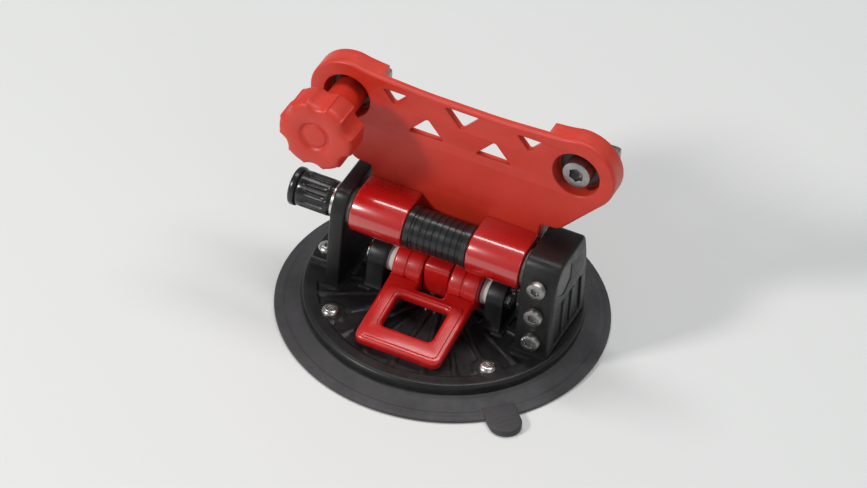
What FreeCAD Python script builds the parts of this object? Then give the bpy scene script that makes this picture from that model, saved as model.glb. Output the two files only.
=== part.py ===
"""Vacuum suction cup with a cam lever and a tilting bracket that clamps to a slotted rail.

Frame: millimetres, +Z up.  The origin is the centre of the sealing face, on the plane that the
rubber lip rests on.  +X runs along the hinge barrel and the rail, -Y is the lever side.
"""
import FreeCAD
import Part
import math
import os

V = FreeCAD.Vector

# ---- driving dimensions -------------------------------------------------------------------
# rubber pad
PAD_R = 75.0                # sealing disc, outside radius
LIP_R = 63.0                # inside radius of the flat sealing lip
LIP_EDGE = 1.8              # thickness at the very edge
PAD_TOP = 5.5               # height of the flat seat under the base plate
CAVITY = 3.2                # how far the pad's middle is drawn up with the lever closed
BOSS_R = 24.0               # boss over the moulded-in steel disc
BOSS_TOP = 7.6
TAB_ANGLE = -45.0           # release tab, degrees from +X
TAB_REACH = 87.0
TAB_W = 15.0
TAB_T = 3.4
INSERT_R = 20.0             # steel disc in the middle of the pad
INSERT_Z0 = 4.6
INSERT_T = 1.8
RING_R0 = 47.0              # steel ring that the plate screws pull against
RING_R1 = 60.0
RING_T = 2.0

# base plate
PLATE_R = 63.0
PLATE_T = 5.0
PLATE_TOP = PAD_TOP + PLATE_T
POCKET_R = 27.0
POCKET_TOP = 8.0
PLATE_EDGE = 1.6
PLATE_SCREWS = ((38.0, -37.0), (38.0, 40.0))   # mirrored to -X
SCREW_R = 2.0               # M4
SCREW_HEAD_R = 4.0
SCREW_HEAD_H = 2.6
FOOT_SCREWS = ((-56.0, -4.0), (-54.5, 12.0))
FOOT_T = 4.0
FRONT_SCREW_X = 50.8
FRONT_SCREW_Z = (19.0, 33.0)     # cheek on its post
LOCK_SCREW_Z = 48.0              # holds the hinge shaft
POST = (47.0, 56.0, -11.0, 9.0, 37.0)

# lift stud and yoke
STUD_R = 4.0
RUN = 0.06                  # radial clearance of every running fit
BUSH_R = 6.5
YOKE_HALF_X = 6.0
YOKE_WALL = 2.5

# lever and its eccentric
AXLE_Y = -4.0
AXLE_Z = 23.0
AXLE_R = 3.0
AXLE_HALF = 34.5
ECC = 2.2                   # eccentric offset: the lift is twice this times the sine of ECC_ANGLE
ECC_R = 6.0
ECC_ANGLE = 25.0            # of the eccentric above the horizontal, lever closed
LEVER_HALF = 20.5
LEVER_HUB_R = 10.0
LEVER_TIP_Y = -51.0
LEVER_TIP_Z = 13.2
LEVER_T = 5.6
WINDOW_HALF = 12.2
WINDOW_Y0 = -20.5
WINDOW_Y1 = -40.0
YOKE_SWEEP_R = 13.0          # room that the yoke needs between the lever's drums
LUG_X0 = 24.5
LUG_X1 = 33.0
LUG_R = 8.5

# hinge barrel
BARREL_Y = -8.0
BARREL_Z = 48.0
BARREL_R = 10.5
BARREL_HALF = 42.0
BAND_HALF = 15.0
SHAFT_R = 4.0
SLEEVE_BUSH_R = 5.6
CHEEK_X0 = 42.6
LEFT_CHEEK_T = 7.0
RIGHT_CHEEK_T = 16.4
TILT_NUT_R = 8.2
TILT_NUT_END = -71.5

# rail bracket
LOBE_X = 54.5
LOBE_Z = 97.0
LOBE_R = 18.0
LOBE_BORE_R = 4.1
RECESS_R = 11.0
RECESS_DEPTH = 7.5
FACE_Y = 3.6                # front face of the bracket plate
PANEL_T = 6.0
TRUSS_T = 3.2                # thickness of the panel in the truss band
RAIL_Y = 14.0               # face that lies against the rail
TOP_Z = 112.5
ROW_Z = (94.5, 104.5)        # middles of the two rows of truss windows
WINDOW_PITCH = 16.0
WINDOW_W = 17.0
WINDOW_H = 9.6
SLEEVE_SCREW_X = (21.0, 32.5)
SLEEVE_SCREW_Z = 54.5
WASHER_T = 1.4

# knob and rail hardware
KNOB_R = 18.0
KNOB_T = 15.0
KNOB_Y1 = -14.0             # back of the knob's head
NECK_R = 7.5
M8_R = 4.0
SLOT_NUT_GAP = 3.0          # rail wall between the bracket and the slot nut
SLOT_NUT_T = 5.0
COLLAR_T = 0.9


# ---- helpers --------------------------------------------------------------------------------
def cyl(radius, length, base, axis):
    """A cylinder from base along axis."""
    return Part.makeCylinder(radius, length, base, axis)


def box(x0, x1, y0, y1, z0, z1):
    """A box between two corners."""
    return Part.makeBox(x1 - x0, y1 - y0, z1 - z0, V(x0, y0, z0))


def tube(outer, inner, length, base, axis):
    """A straight tube."""
    return cyl(outer, length, base, axis).cut(cyl(inner, length, base, axis))


def revolve(points):
    """A solid of revolution about +Z from (radius, height) corners."""
    wire = Part.makePolygon([V(r, 0, z) for r, z in points + points[:1]])
    return Part.Face(wire).revolve(V(0, 0, 0), V(0, 0, 1), 360)


def slab_x(points, x0, x1):
    """A prism along X from (y, z) corners."""
    wire = Part.makePolygon([V(x0, y, z) for y, z in points + points[:1]])
    return Part.Face(wire).extrude(V(x1 - x0, 0, 0))


def slab_y(points, y0, y1):
    """A prism along Y from (x, z) corners."""
    wire = Part.makePolygon([V(x, y0, z) for x, z in points + points[:1]])
    return Part.Face(wire).extrude(V(0, y1 - y0, 0))


def fuse(*shapes):
    """One solid from touching or overlapping shapes."""
    result = shapes[0]
    for shape in shapes[1:]:
        result = result.fuse(shape)
    return result.removeSplitter()


def cut(shape, *tools):
    """shape with each tool taken away."""
    for tool in tools:
        shape = shape.cut(tool)
    return shape


def group(shapes):
    """Separate solids kept side by side in one node."""
    return Part.makeCompound(shapes)


def mirror_x(shape):
    """shape reflected to the other side of the YZ plane."""
    return shape.mirror(V(0, 0, 0), V(1, 0, 0))


def round_edges(shape, radius, keep):
    """Fillets the edges whose middle point passes keep."""
    edges = [e for e in shape.Edges if keep(e.valueAt(0.5 * (e.FirstParameter + e.LastParameter)), e)]
    return shape.makeFillet(radius, edges) if edges else shape


def hexagon(radius, height, base, axis):
    """A hexagonal prism; radius is to the flats."""
    corner = radius / math.cos(math.pi / 6)
    points = [V(corner * math.cos(math.radians(60 * i)), corner * math.sin(math.radians(60 * i)), 0)
              for i in range(6)]
    prism = Part.Face(Part.makePolygon(points + points[:1])).extrude(V(0, 0, height))
    prism.Placement = FreeCAD.Placement(base, FreeCAD.Rotation(V(0, 0, 1), axis))
    return prism


def button_screw(base, axis, length, shank, head, height):
    """A domed screw: base is the seat under its head, axis points out of the head."""
    down = V(-axis.x, -axis.y, -axis.z)
    body = cyl(shank, length, base, down)
    cap = Part.makeCone(head, head * 0.62, height, base, axis)
    socket = hexagon(head * 0.34, height * 0.6, base + axis * (height * 0.45), axis)
    return cut(fuse(body, cap), socket)


# ---- pad ------------------------------------------------------------------------------------
def rubber_pad():
    """The sealing disc: flat lip, drawn-up middle, groove for the steel ring and a release tab."""
    profile = [(0, CAVITY), (26, CAVITY), (40, 2.6), (52, 1.4), (LIP_R, 0), (PAD_R, 0),
               (PAD_R, LIP_EDGE), (67, 4.0), (62.5, PAD_TOP), (RING_R1, PAD_TOP),
               (RING_R1, PAD_TOP - RING_T), (RING_R0, PAD_TOP - RING_T), (RING_R0, PAD_TOP),
               (BOSS_R + 2.0, PAD_TOP), (BOSS_R, BOSS_TOP), (0, BOSS_TOP)]
    disc = revolve(profile)
    room = cyl(INSERT_R + 0.3, INSERT_T + 0.2, V(0, 0, INSERT_Z0 - 0.1), V(0, 0, 1))
    hole = cyl(STUD_R + 0.5, BOSS_TOP, V(0, 0, INSERT_Z0), V(0, 0, 1))
    tab = box(66, TAB_REACH - TAB_W / 2, -TAB_W / 2, TAB_W / 2, 0, TAB_T)
    tip = cyl(TAB_W / 2, TAB_T, V(TAB_REACH - TAB_W / 2, 0, 0), V(0, 0, 1))
    tab = fuse(tab, tip).cut(cyl(LIP_R + 1, TAB_T, V(0, 0, 0), V(0, 0, 1)))
    tab.rotate(V(0, 0, 0), V(0, 0, 1), TAB_ANGLE)
    return cut(fuse(disc, tab), room, hole)


def retaining_ring():
    """Flat steel ring bonded into the pad, tapped for the plate screws."""
    ring = tube(RING_R1, RING_R0, RING_T, V(0, 0, PAD_TOP - RING_T), V(0, 0, 1))
    for x, y in screw_places():
        ring = ring.cut(cyl(SCREW_R, RING_T, V(x, y, PAD_TOP - RING_T), V(0, 0, 1)))
    return ring


def screw_places():
    """Centres of the plate screws on both sides."""
    return [(side * x, y) for x, y in PLATE_SCREWS for side in (1, -1)]


def pad_insert():
    """Steel disc moulded into the middle of the pad."""
    disc = cyl(INSERT_R, INSERT_T, V(0, 0, INSERT_Z0), V(0, 0, 1))
    return disc.cut(cyl(STUD_R, INSERT_T, V(0, 0, INSERT_Z0), V(0, 0, 1)))


# ---- base -----------------------------------------------------------------------------------
def axle_lug(x0, x1):
    """An upright ear of the base plate that holds the lever's axle."""
    foot = box(x0, x1, AXLE_Y - LUG_R, AXLE_Y + LUG_R, PLATE_TOP - 1, AXLE_Z)
    ear = fuse(foot, cyl(LUG_R, x1 - x0, V(x0, AXLE_Y, AXLE_Z), V(1, 0, 0)))
    return ear.cut(cyl(AXLE_R, x1 - x0, V(x0, AXLE_Y, AXLE_Z), V(1, 0, 0)))


def base_plate():
    """Round plate over the pad, with screw holes and two axle lugs."""
    disc = revolve([(0, PAD_TOP), (PLATE_R, PAD_TOP), (PLATE_R, PLATE_TOP - PLATE_EDGE),
                    (PLATE_R - PLATE_EDGE, PLATE_TOP), (0, PLATE_TOP)])
    disc = disc.cut(cyl(POCKET_R, POCKET_TOP - PAD_TOP, V(0, 0, PAD_TOP), V(0, 0, 1)))
    disc = disc.cut(cyl(BUSH_R, PLATE_T, V(0, 0, PAD_TOP), V(0, 0, 1)))
    disc = fuse(disc, axle_lug(LUG_X0, LUG_X1), axle_lug(-LUG_X1, -LUG_X0), post_block(0.0))
    for x, y in screw_places():
        disc = disc.cut(cyl(SCREW_R, PLATE_T, V(x, y, PAD_TOP), V(0, 0, 1)))
    for x, y in FOOT_SCREWS:
        disc = disc.cut(cyl(SCREW_R, PLATE_T, V(x, y, PAD_TOP), V(0, 0, 1)))
    for z in FRONT_SCREW_Z:
        disc = disc.cut(cyl(2.5, 1.0, V(FRONT_SCREW_X, POST[2], z), V(0, 1, 0)))
    return disc


def plate_screws():
    """The screws that clamp the plate to the ring in the pad."""
    length = PLATE_T + RING_T
    return group([button_screw(V(x, y, PLATE_TOP), V(0, 0, 1), length, SCREW_R, SCREW_HEAD_R,
                               SCREW_HEAD_H) for x, y in screw_places()])


def cheek_outline():
    """Side view of a cheek, as (y, z) corners."""
    return [(-20.0, PLATE_TOP), (-18.6, 50.0), (-14.0, 59.0), (13.0, 59.0), (17.0, 46.0),
            (20.0, PLATE_TOP)]


def left_cheek():
    """Thin upright on the tilt nut's side, with a screwed foot that points outwards."""
    x0 = -CHEEK_X0 - LEFT_CHEEK_T
    top = PLATE_TOP + FOOT_T
    wall = slab_x(cheek_outline(), x0, -CHEEK_X0)
    foot = box(-60.0, x0, -12.0, 18.0, PLATE_TOP, top)
    foot = foot.common(cyl(PLATE_R - PLATE_EDGE, 20, V(0, 0, PLATE_TOP), V(0, 0, 1)))
    rib = slab_y([(x0 - 7.0, top), (x0, top), (x0, 36.0)], 2.0, 6.0)
    body = fuse(wall, foot, rib).cut(shaft_hole(x0 - 1, -CHEEK_X0 + 1))
    for x, y in FOOT_SCREWS:
        body = body.cut(cyl(SCREW_R, FOOT_T, V(x, y, PLATE_TOP), V(0, 0, 1)))
    return body


def right_cheek():
    """Thick upright that fits over the base plate's post and holds the hinge shaft's head."""
    x1 = CHEEK_X0 + RIGHT_CHEEK_T
    wall = slab_x(cheek_outline(), CHEEK_X0, x1)
    wall = round_edges(wall, 1.4, lambda p, e: p.z > 30 and abs(p.x - 0.5 * (CHEEK_X0 + x1)) > 5)
    pocket = hexagon(7.05, 6.0, V(x1 - 5.0, BARREL_Y, BARREL_Z), V(1, 0, 0))
    body = cut(wall, shaft_hole(CHEEK_X0 - 1, x1 + 1), pocket, post_block(0.0))
    for z in FRONT_SCREW_Z + (LOCK_SCREW_Z,):
        body = body.cut(cyl(2.5, 14.0, V(FRONT_SCREW_X, -24.0, z), V(0, 1, 0)))
    return body


def post_block(grow):
    """The base plate's post inside the right cheek."""
    x0, x1, y0, y1, z1 = POST
    return box(x0 - grow, x1 + grow, y0 - grow, y1 + grow, PLATE_TOP - 1, z1 + grow)


def shaft_hole(x0, x1):
    """The room for the hinge shaft between two places along X."""
    return cyl(SHAFT_R, x1 - x0, V(x0, BARREL_Y, BARREL_Z), V(1, 0, 0))


def foot_screws():
    """The screws through the left cheek's foot into the plate and the ring."""
    seat = PLATE_TOP + FOOT_T
    return group([button_screw(V(x, y, seat), V(0, 0, 1), seat - PAD_TOP, SCREW_R, SCREW_HEAD_R,
                               SCREW_HEAD_H) for x, y in FOOT_SCREWS])


def cap_screw(x, y, z, length):
    """A cap screw with its head on the front face of the right cheek."""
    shank = cyl(2.5, length, V(x, y, z), V(0, 1, 0))
    head = cyl(4.2, 3.0, V(x, y - 3.0, z), V(0, 1, 0))
    head = round_edges(head, 0.7, lambda p, e: abs(p.y - y + 3.0) < 0.1)
    socket = hexagon(1.9, 2.0, V(x, y - 1.0, z), V(0, -1, 0))
    return cut(fuse(shank, head), socket)


def cheek_front_y(z):
    """Y of the cheek's front face at a height, taken at a screw's own middle."""
    (ya, za), (yb, zb) = cheek_outline()[:2]
    return ya + (yb - ya) * (z - za) / (zb - za)


def shaft_lock_screw():
    """Cap screw in the front of the right cheek that stops the hinge shaft from turning."""
    y = cheek_front_y(LOCK_SCREW_Z) - 0.3
    return cap_screw(FRONT_SCREW_X, y, LOCK_SCREW_Z, BARREL_Y - SHAFT_R - y)


def cheek_front_screws():
    """Cap screws through the front of the right cheek into its post."""
    screws = []
    for z in FRONT_SCREW_Z:
        y = cheek_front_y(z) - 0.3
        screws.append(cap_screw(FRONT_SCREW_X, y, z, -10.0 - y))
    return group(screws)


def stud_guide_bush():
    """Bush in the plate that guides the lift stud."""
    return tube(BUSH_R, STUD_R + RUN, PLATE_TOP - POCKET_TOP, V(0, 0, POCKET_TOP), V(0, 0, 1))


# ---- lift -----------------------------------------------------------------------------------
def ecc_centre():
    """Centre (y, z) of the eccentric with the lever closed."""
    angle = math.radians(ECC_ANGLE)
    return AXLE_Y + ECC * math.cos(angle), AXLE_Z + ECC * math.sin(angle)


def lift_stud():
    """Round stud between the pad's steel disc and the yoke."""
    top = ecc_centre()[1] - ECC_R - RUN
    return cyl(STUD_R, top - INSERT_Z0, V(0, 0, INSERT_Z0), V(0, 0, 1))


def lift_yoke():
    """Frame round the eccentric: its slot is the eccentric's height and wider than it."""
    y, z = ecc_centre()
    low = z - ECC_R - RUN
    high = z + ECC_R + RUN
    front = y - ECC_R - 1.2
    back = AXLE_Y + ECC + ECC_R + 1.0
    outer = box(-YOKE_HALF_X, YOKE_HALF_X, front - 2.0, back + 2.0, low - YOKE_WALL, high + YOKE_WALL)
    outer = round_edges(outer, 2.5, lambda p, e: abs(p.x) < 0.1)
    slot = box(-YOKE_HALF_X - 1, YOKE_HALF_X + 1, front, back, low, high)
    return cut(outer, slot, cyl(STUD_R, YOKE_WALL, V(0, 0, low - YOKE_WALL), V(0, 0, 1)))


# ---- lever ----------------------------------------------------------------------------------
def vacuum_lever():
    """Windowed lever with two hub drums; the eccentric sits between the drums."""
    angle = math.atan2(LEVER_TIP_Z - AXLE_Z, LEVER_TIP_Y - AXLE_Y)
    along = (math.cos(angle), math.sin(angle))
    across = (-along[1], along[0])
    reach = math.hypot(LEVER_TIP_Z - AXLE_Z, LEVER_TIP_Y - AXLE_Y)
    half = LEVER_T / 2

    def at(distance, side):
        return (AXLE_Y + along[0] * distance + across[0] * side, AXLE_Z + along[1] * distance + across[1] * side)

    plate = slab_x([at(0, -half), at(reach, -half * 0.8), at(reach, half * 0.8), at(0, half)],
                   -LEVER_HALF, LEVER_HALF)
    drums = cyl(LEVER_HUB_R, 2 * LEVER_HALF, V(-LEVER_HALF, AXLE_Y, AXLE_Z), V(1, 0, 0))
    lever = fuse(plate, drums)
    lever = round_edges(lever, 3.5, lambda p, e: abs(abs(p.x) - LEVER_HALF) < 0.1 and p.y < LEVER_TIP_Y + 1)
    window = box(-WINDOW_HALF, WINDOW_HALF, WINDOW_Y1, WINDOW_Y0, 0, 40)
    window = round_edges(window, 2.0, lambda p, e: abs(p.z - 20) < 0.1)
    middle = cyl(YOKE_SWEEP_R, 2 * YOKE_HALF_X + 1.0, V(-YOKE_HALF_X - 0.5, AXLE_Y, AXLE_Z), V(1, 0, 0))
    bore = cyl(AXLE_R + RUN, 2 * LEVER_HALF, V(-LEVER_HALF, AXLE_Y, AXLE_Z), V(1, 0, 0))
    return cut(lever, window, middle, bore)


def lever_eccentric():
    """Steel eccentric on the axle, with a square tongue each side that keys it into the lever."""
    y, z = ecc_centre()
    half = YOKE_HALF_X + 0.5
    disc = cyl(ECC_R, 2 * half, V(-half, y, z), V(1, 0, 0))
    return disc.cut(cyl(AXLE_R + RUN, 2 * half, V(-half, AXLE_Y, AXLE_Z), V(1, 0, 0)))


def lever_axle():
    """Pin with a round head at one end and a groove for a clip at the other."""
    pin = cyl(AXLE_R, 2 * AXLE_HALF, V(-AXLE_HALF, AXLE_Y, AXLE_Z), V(1, 0, 0))
    head = cyl(4.6, 2.0, V(-LUG_X1 - 2.0, AXLE_Y, AXLE_Z), V(1, 0, 0))
    groove = tube(AXLE_R + 1, AXLE_R - 0.7, 1.0, V(LUG_X1, AXLE_Y, AXLE_Z), V(1, 0, 0))
    return fuse(pin, head).cut(groove)


def axle_clip():
    """Open retaining clip in the axle's groove."""
    ring = tube(4.6, AXLE_R - 0.7, 1.0, V(LUG_X1, AXLE_Y, AXLE_Z), V(1, 0, 0))
    return ring.cut(box(LUG_X1, LUG_X1 + 1.0, AXLE_Y - 1.2, AXLE_Y + 1.2, AXLE_Z - 6, AXLE_Z - 1))


def axle_spacers():
    """Washers between the lever and the lugs."""
    width = LUG_X0 - LEVER_HALF - 0.4
    return group([tube(6.0, AXLE_R + 0.0, width, V(x, AXLE_Y, AXLE_Z), V(1, 0, 0))
                  for x in (LEVER_HALF + 0.4, -LUG_X0)])


# ---- hinge barrel ---------------------------------------------------------------------------
def hinge_shaft():
    """Steel shaft with a hexagonal head in the right cheek and a thread for the tilt nut."""
    x1 = CHEEK_X0 + RIGHT_CHEEK_T - 5.0
    shaft = cyl(SHAFT_R, x1 - TILT_NUT_END - 8.0, V(TILT_NUT_END + 8.0, BARREL_Y, BARREL_Z), V(1, 0, 0))
    head = hexagon(7.0, 4.6, V(x1, BARREL_Y, BARREL_Z), V(1, 0, 0))
    return fuse(shaft, head)


def centre_band():
    """Black spacer tube between the two hinge sleeves, with a shallow waist."""
    half = BAND_HALF
    band = tube(BARREL_R - 0.5, SHAFT_R, 2 * half, V(-half, BARREL_Y, BARREL_Z), V(1, 0, 0))
    waist = tube(BARREL_R, BARREL_R - 1.0, 2 * half - 6.0, V(3.0 - half, BARREL_Y, BARREL_Z), V(1, 0, 0))
    return band.cut(waist)


def hinge_sleeve():
    """Right-hand barrel sleeve, with the lug that bolts to the bracket plate."""
    x0 = BAND_HALF + 0.3
    x1 = BARREL_HALF - 1.2
    body = cyl(BARREL_R, x1 - x0, V(x0, BARREL_Y, BARREL_Z), V(1, 0, 0))
    body = round_edges(body, 1.2, lambda p, e: abs(abs(p.x - 0.5 * (x0 + x1)) - 0.5 * (x1 - x0)) < 0.1)
    lug = box(x0 + 1.0, x1 - 1.0, BARREL_Y, FACE_Y, BARREL_Z - 4.0, BARREL_Z + 10.4)
    body = fuse(body, lug)
    body = body.cut(cyl(SLEEVE_BUSH_R, x1 - x0, V(x0, BARREL_Y, BARREL_Z), V(1, 0, 0)))
    return cut(body, *[cyl(1.7, 6.0, V(x, FACE_Y - 6.0, SLEEVE_SCREW_Z), V(0, 1, 0)) for x in SLEEVE_SCREW_X])


def sleeve_bushes():
    """Plain bearings in the two sleeves."""
    x0 = BAND_HALF + 0.3
    x1 = BARREL_HALF - 1.2
    one = tube(SLEEVE_BUSH_R, SHAFT_R + RUN, x1 - x0, V(x0, BARREL_Y, BARREL_Z), V(1, 0, 0))
    return group([one, mirror_x(one)])


def friction_washers():
    """Thin washers between the sleeves and the cheeks, which grip when the tilt nut is tight."""
    x0 = BARREL_HALF - 0.8
    one = tube(BARREL_R - 1.5, SHAFT_R, CHEEK_X0 - x0, V(x0, BARREL_Y, BARREL_Z), V(1, 0, 0))
    return group([one, mirror_x(one)])


def tilt_washer():
    """Thrust washer between the left cheek and the tilt nut."""
    x1 = -CHEEK_X0 - LEFT_CHEEK_T
    return tube(TILT_NUT_R, SHAFT_R + RUN, 1.4, V(x1 - 1.4, BARREL_Y, BARREL_Z), V(1, 0, 0))


def tilt_nut():
    """Long hand nut that clamps the tilt, with grip flutes."""
    x1 = -CHEEK_X0 - LEFT_CHEEK_T - 1.4
    x0 = TILT_NUT_END + 3.0
    nut = cyl(TILT_NUT_R, x1 - x0, V(x0, BARREL_Y, BARREL_Z), V(1, 0, 0))
    for i in range(12):
        a = math.radians(30 * i)
        y = BARREL_Y + (TILT_NUT_R + 0.5) * math.cos(a)
        z = BARREL_Z + (TILT_NUT_R + 0.5) * math.sin(a)
        nut = nut.cut(cyl(1.1, x1 - x0 - 8.0, V(x0 + 4.0, y, z), V(1, 0, 0)))
    return nut.cut(cyl(6.0, x1 - x0, V(x0, BARREL_Y, BARREL_Z), V(1, 0, 0)))


def tilt_nut_insert():
    """Brass threaded bush inside the hand nut."""
    x1 = -CHEEK_X0 - LEFT_CHEEK_T - 1.4
    x0 = TILT_NUT_END + 3.0
    return tube(6.0, SHAFT_R + RUN, x1 - x0, V(x0, BARREL_Y, BARREL_Z), V(1, 0, 0))


def tilt_nut_cap():
    """Rimmed end cap of the hand nut."""
    cap = cyl(TILT_NUT_R + 0.6, 3.0, V(TILT_NUT_END, BARREL_Y, BARREL_Z), V(1, 0, 0))
    cap = round_edges(cap, 0.9, lambda p, e: abs(p.x - TILT_NUT_END) < 0.1)
    return cap.cut(cyl(5.5, 0.8, V(TILT_NUT_END, BARREL_Y, BARREL_Z), V(1, 0, 0)))


# ---- rail bracket ---------------------------------------------------------------------------
def bracket_outline():
    """Front view of the bracket plate without its lobes, as (x, z) corners."""
    right = [(40.0, BARREL_Z - 4.0), (40.8, 63.5), (49.0, 63.5), (67.0, 84.0), (61.0, LOBE_Z + 12.0),
             (44.0, TOP_Z + 0.8), (18.0, TOP_Z - 0.8)]
    return right + [(-x, z) for x, z in reversed(right)]


def truss_windows():
    """Five triangles in two rows: upper ones point down, lower ones point up."""
    triangles = []
    for i in range(-2, 3):
        x = i * WINDOW_PITCH
        upper = i % 2 == 0
        scale = 0.72 if abs(i) == 2 else 1.0
        half = WINDOW_W / 2 * scale
        rise = (WINDOW_H / 2 if upper else -WINDOW_H / 2) * scale
        middle = ROW_Z[1] if upper else ROW_Z[0]
        triangles.append([(x - half, middle + rise), (x + half, middle + rise), (x, middle - rise)])
    return triangles


def bracket_plate():
    """Panel with a truss band, a stiffening frame behind it that is open at the top, and two lobes."""
    back = FACE_Y + PANEL_T
    inner = box(-40.0, 40.0, FACE_Y + TRUSS_T, RAIL_Y, ROW_Z[0] - 12.5, TOP_Z + 5.0)
    outline = slab_y(bracket_outline(), FACE_Y, back).cut(inner)
    frame = slab_y(bracket_outline(), back, RAIL_Y)
    lower = slab_y([(-36.0, BARREL_Z), (36.0, BARREL_Z), (37.0, 67.0), (47.0, 67.0), (52.0, 75.5), (46.0, 78.5),
                    (-46.0, 78.5), (-52.0, 75.5), (-47.0, 67.0), (-37.0, 67.0)], back, RAIL_Y)
    frame = cut(frame, inner, lower)
    lobes = [cyl(LOBE_R, RAIL_Y - FACE_Y, V(x, FACE_Y, LOBE_Z), V(0, 1, 0)) for x in (-LOBE_X, LOBE_X)]
    plate = fuse(outline, frame, *lobes)
    for triangle in truss_windows():
        hole = slab_y(triangle, FACE_Y - 1, RAIL_Y + 1)
        plate = plate.cut(round_edges(hole, 1.0, lambda p, e: abs(p.y - 0.5 * (FACE_Y + RAIL_Y)) < 0.1))
    for x in (-LOBE_X, LOBE_X):
        plate = plate.cut(cyl(RECESS_R, RECESS_DEPTH, V(x, FACE_Y, LOBE_Z), V(0, 1, 0)))
        plate = plate.cut(cyl(LOBE_BORE_R, 20, V(x, FACE_Y, LOBE_Z), V(0, 1, 0)))
    for x in SLEEVE_SCREW_X:
        for side in (1, -1):
            plate = plate.cut(cyl(1.7, 20, V(side * x, FACE_Y, SLEEVE_SCREW_Z), V(0, 1, 0)))
    return plate


def sleeve_screws():
    """Screws from behind the bracket plate into the sleeves' lugs."""
    screws = []
    for x in SLEEVE_SCREW_X:
        for side in (1, -1):
            base = V(side * x, FACE_Y + PANEL_T, SLEEVE_SCREW_Z)
            screws.append(button_screw(base, V(0, 1, 0), PANEL_T + 5.0, 1.7, 3.2, 2.2))
    return group(screws)


# ---- rail clamps ----------------------------------------------------------------------------
def clamp_knob():
    """Star knob with six lobes, a stepped face and a neck that enters the left recess."""
    head = cyl(KNOB_R, KNOB_T, V(-LOBE_X, KNOB_Y1 - KNOB_T, LOBE_Z), V(0, 1, 0))
    for i in range(6):
        a = math.radians(60 * i + 30)
        x = -LOBE_X + (KNOB_R + 4.2) * math.cos(a)
        z = LOBE_Z + (KNOB_R + 4.2) * math.sin(a)
        head = head.cut(cyl(6.6, KNOB_T, V(x, KNOB_Y1 - KNOB_T, z), V(0, 1, 0)))
    head = round_edges(head, 2.2, lambda p, e: abs(p.y - KNOB_Y1 + KNOB_T) < 0.1)
    neck = Part.makeCone(12.0, NECK_R, 7.0, V(-LOBE_X, KNOB_Y1, LOBE_Z), V(0, 1, 0))
    stem_y = KNOB_Y1 + 7.0
    stem = cyl(NECK_R, recess_floor() - WASHER_T - stem_y, V(-LOBE_X, stem_y, LOBE_Z), V(0, 1, 0))
    bore = cyl(M8_R, 40, V(-LOBE_X, KNOB_Y1 - KNOB_T + 5.0, LOBE_Z), V(0, 1, 0))
    return fuse(head, neck, stem).cut(bore)


def recess_floor():
    """Y of the bottom of the lobes' recesses."""
    return FACE_Y + RECESS_DEPTH


def knob_stud():
    """Threaded stud moulded into the knob and running out behind the bracket."""
    y0 = KNOB_Y1 - KNOB_T + 5.0
    return cyl(M8_R, RAIL_Y + SLOT_NUT_GAP + SLOT_NUT_T + 2.0 - y0, V(-LOBE_X, y0, LOBE_Z), V(0, 1, 0))


def recess_washer(x):
    """Steel washer on the bottom of a recess."""
    return tube(9.6, M8_R + 0.1, WASHER_T, V(x, recess_floor() - WASHER_T, LOBE_Z), V(0, 1, 0))


def rail_screw():
    """Cap screw in the right recess."""
    y0 = recess_floor() - WASHER_T
    head = cyl(6.5, 6.0, V(LOBE_X, y0 - 6.0, LOBE_Z), V(0, 1, 0))
    socket = hexagon(3.0, 3.4, V(LOBE_X, y0 - 2.6, LOBE_Z), V(0, -1, 0))
    shank = cyl(M8_R, RAIL_Y + SLOT_NUT_GAP + SLOT_NUT_T + 2.0 - y0, V(LOBE_X, y0, LOBE_Z), V(0, 1, 0))
    return cut(fuse(head, shank), socket)


def slot_nut(x, play):
    """Nut that slides inside the rail's slot; its collar enters the slot's mouth."""
    y0 = RAIL_Y + SLOT_NUT_GAP
    wide = box(x - 13.0, x + 13.0, y0, y0 + SLOT_NUT_T, LOBE_Z - 7.5, LOBE_Z + 7.5)
    collar = box(x - 13.0, x + 13.0, y0 - COLLAR_T, y0, LOBE_Z - 3.9, LOBE_Z + 3.9)
    return fuse(wide, collar).cut(cyl(M8_R + play, 12, V(x, y0 - 2, LOBE_Z), V(0, 1, 0)))


NODES = {
    "rubber_pad": rubber_pad, "pad_retaining_ring": retaining_ring, "pad_insert": pad_insert,
    "base_plate": base_plate, "plate_screws": plate_screws, "left_cheek": left_cheek,
    "right_cheek": right_cheek, "foot_screws": foot_screws, "shaft_lock_screw": shaft_lock_screw,
    "cheek_front_screws": cheek_front_screws,
    "stud_guide_bush": stud_guide_bush, "lift_stud": lift_stud, "lift_yoke": lift_yoke,
    "vacuum_lever": vacuum_lever, "lever_eccentric": lever_eccentric, "lever_axle": lever_axle,
    "axle_clip": axle_clip, "axle_spacers": axle_spacers, "hinge_shaft": hinge_shaft,
    "centre_band": centre_band, "right_hinge_sleeve": hinge_sleeve,
    "left_hinge_sleeve": lambda: mirror_x(hinge_sleeve()), "sleeve_bushes": sleeve_bushes,
    "sleeve_screws": sleeve_screws, "friction_washers": friction_washers, "tilt_washer": tilt_washer,
    "tilt_nut": tilt_nut, "tilt_nut_insert": tilt_nut_insert, "tilt_nut_cap": tilt_nut_cap,
    "bracket_plate": bracket_plate, "clamp_knob": clamp_knob, "knob_stud": knob_stud,
    "knob_washer": lambda: recess_washer(-LOBE_X), "rail_screw_washer": lambda: recess_washer(LOBE_X),
    "rail_screw": rail_screw, "left_slot_nut": lambda: slot_nut(-LOBE_X, RUN),
    "right_slot_nut": lambda: slot_nut(LOBE_X, 0.0),
}

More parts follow.
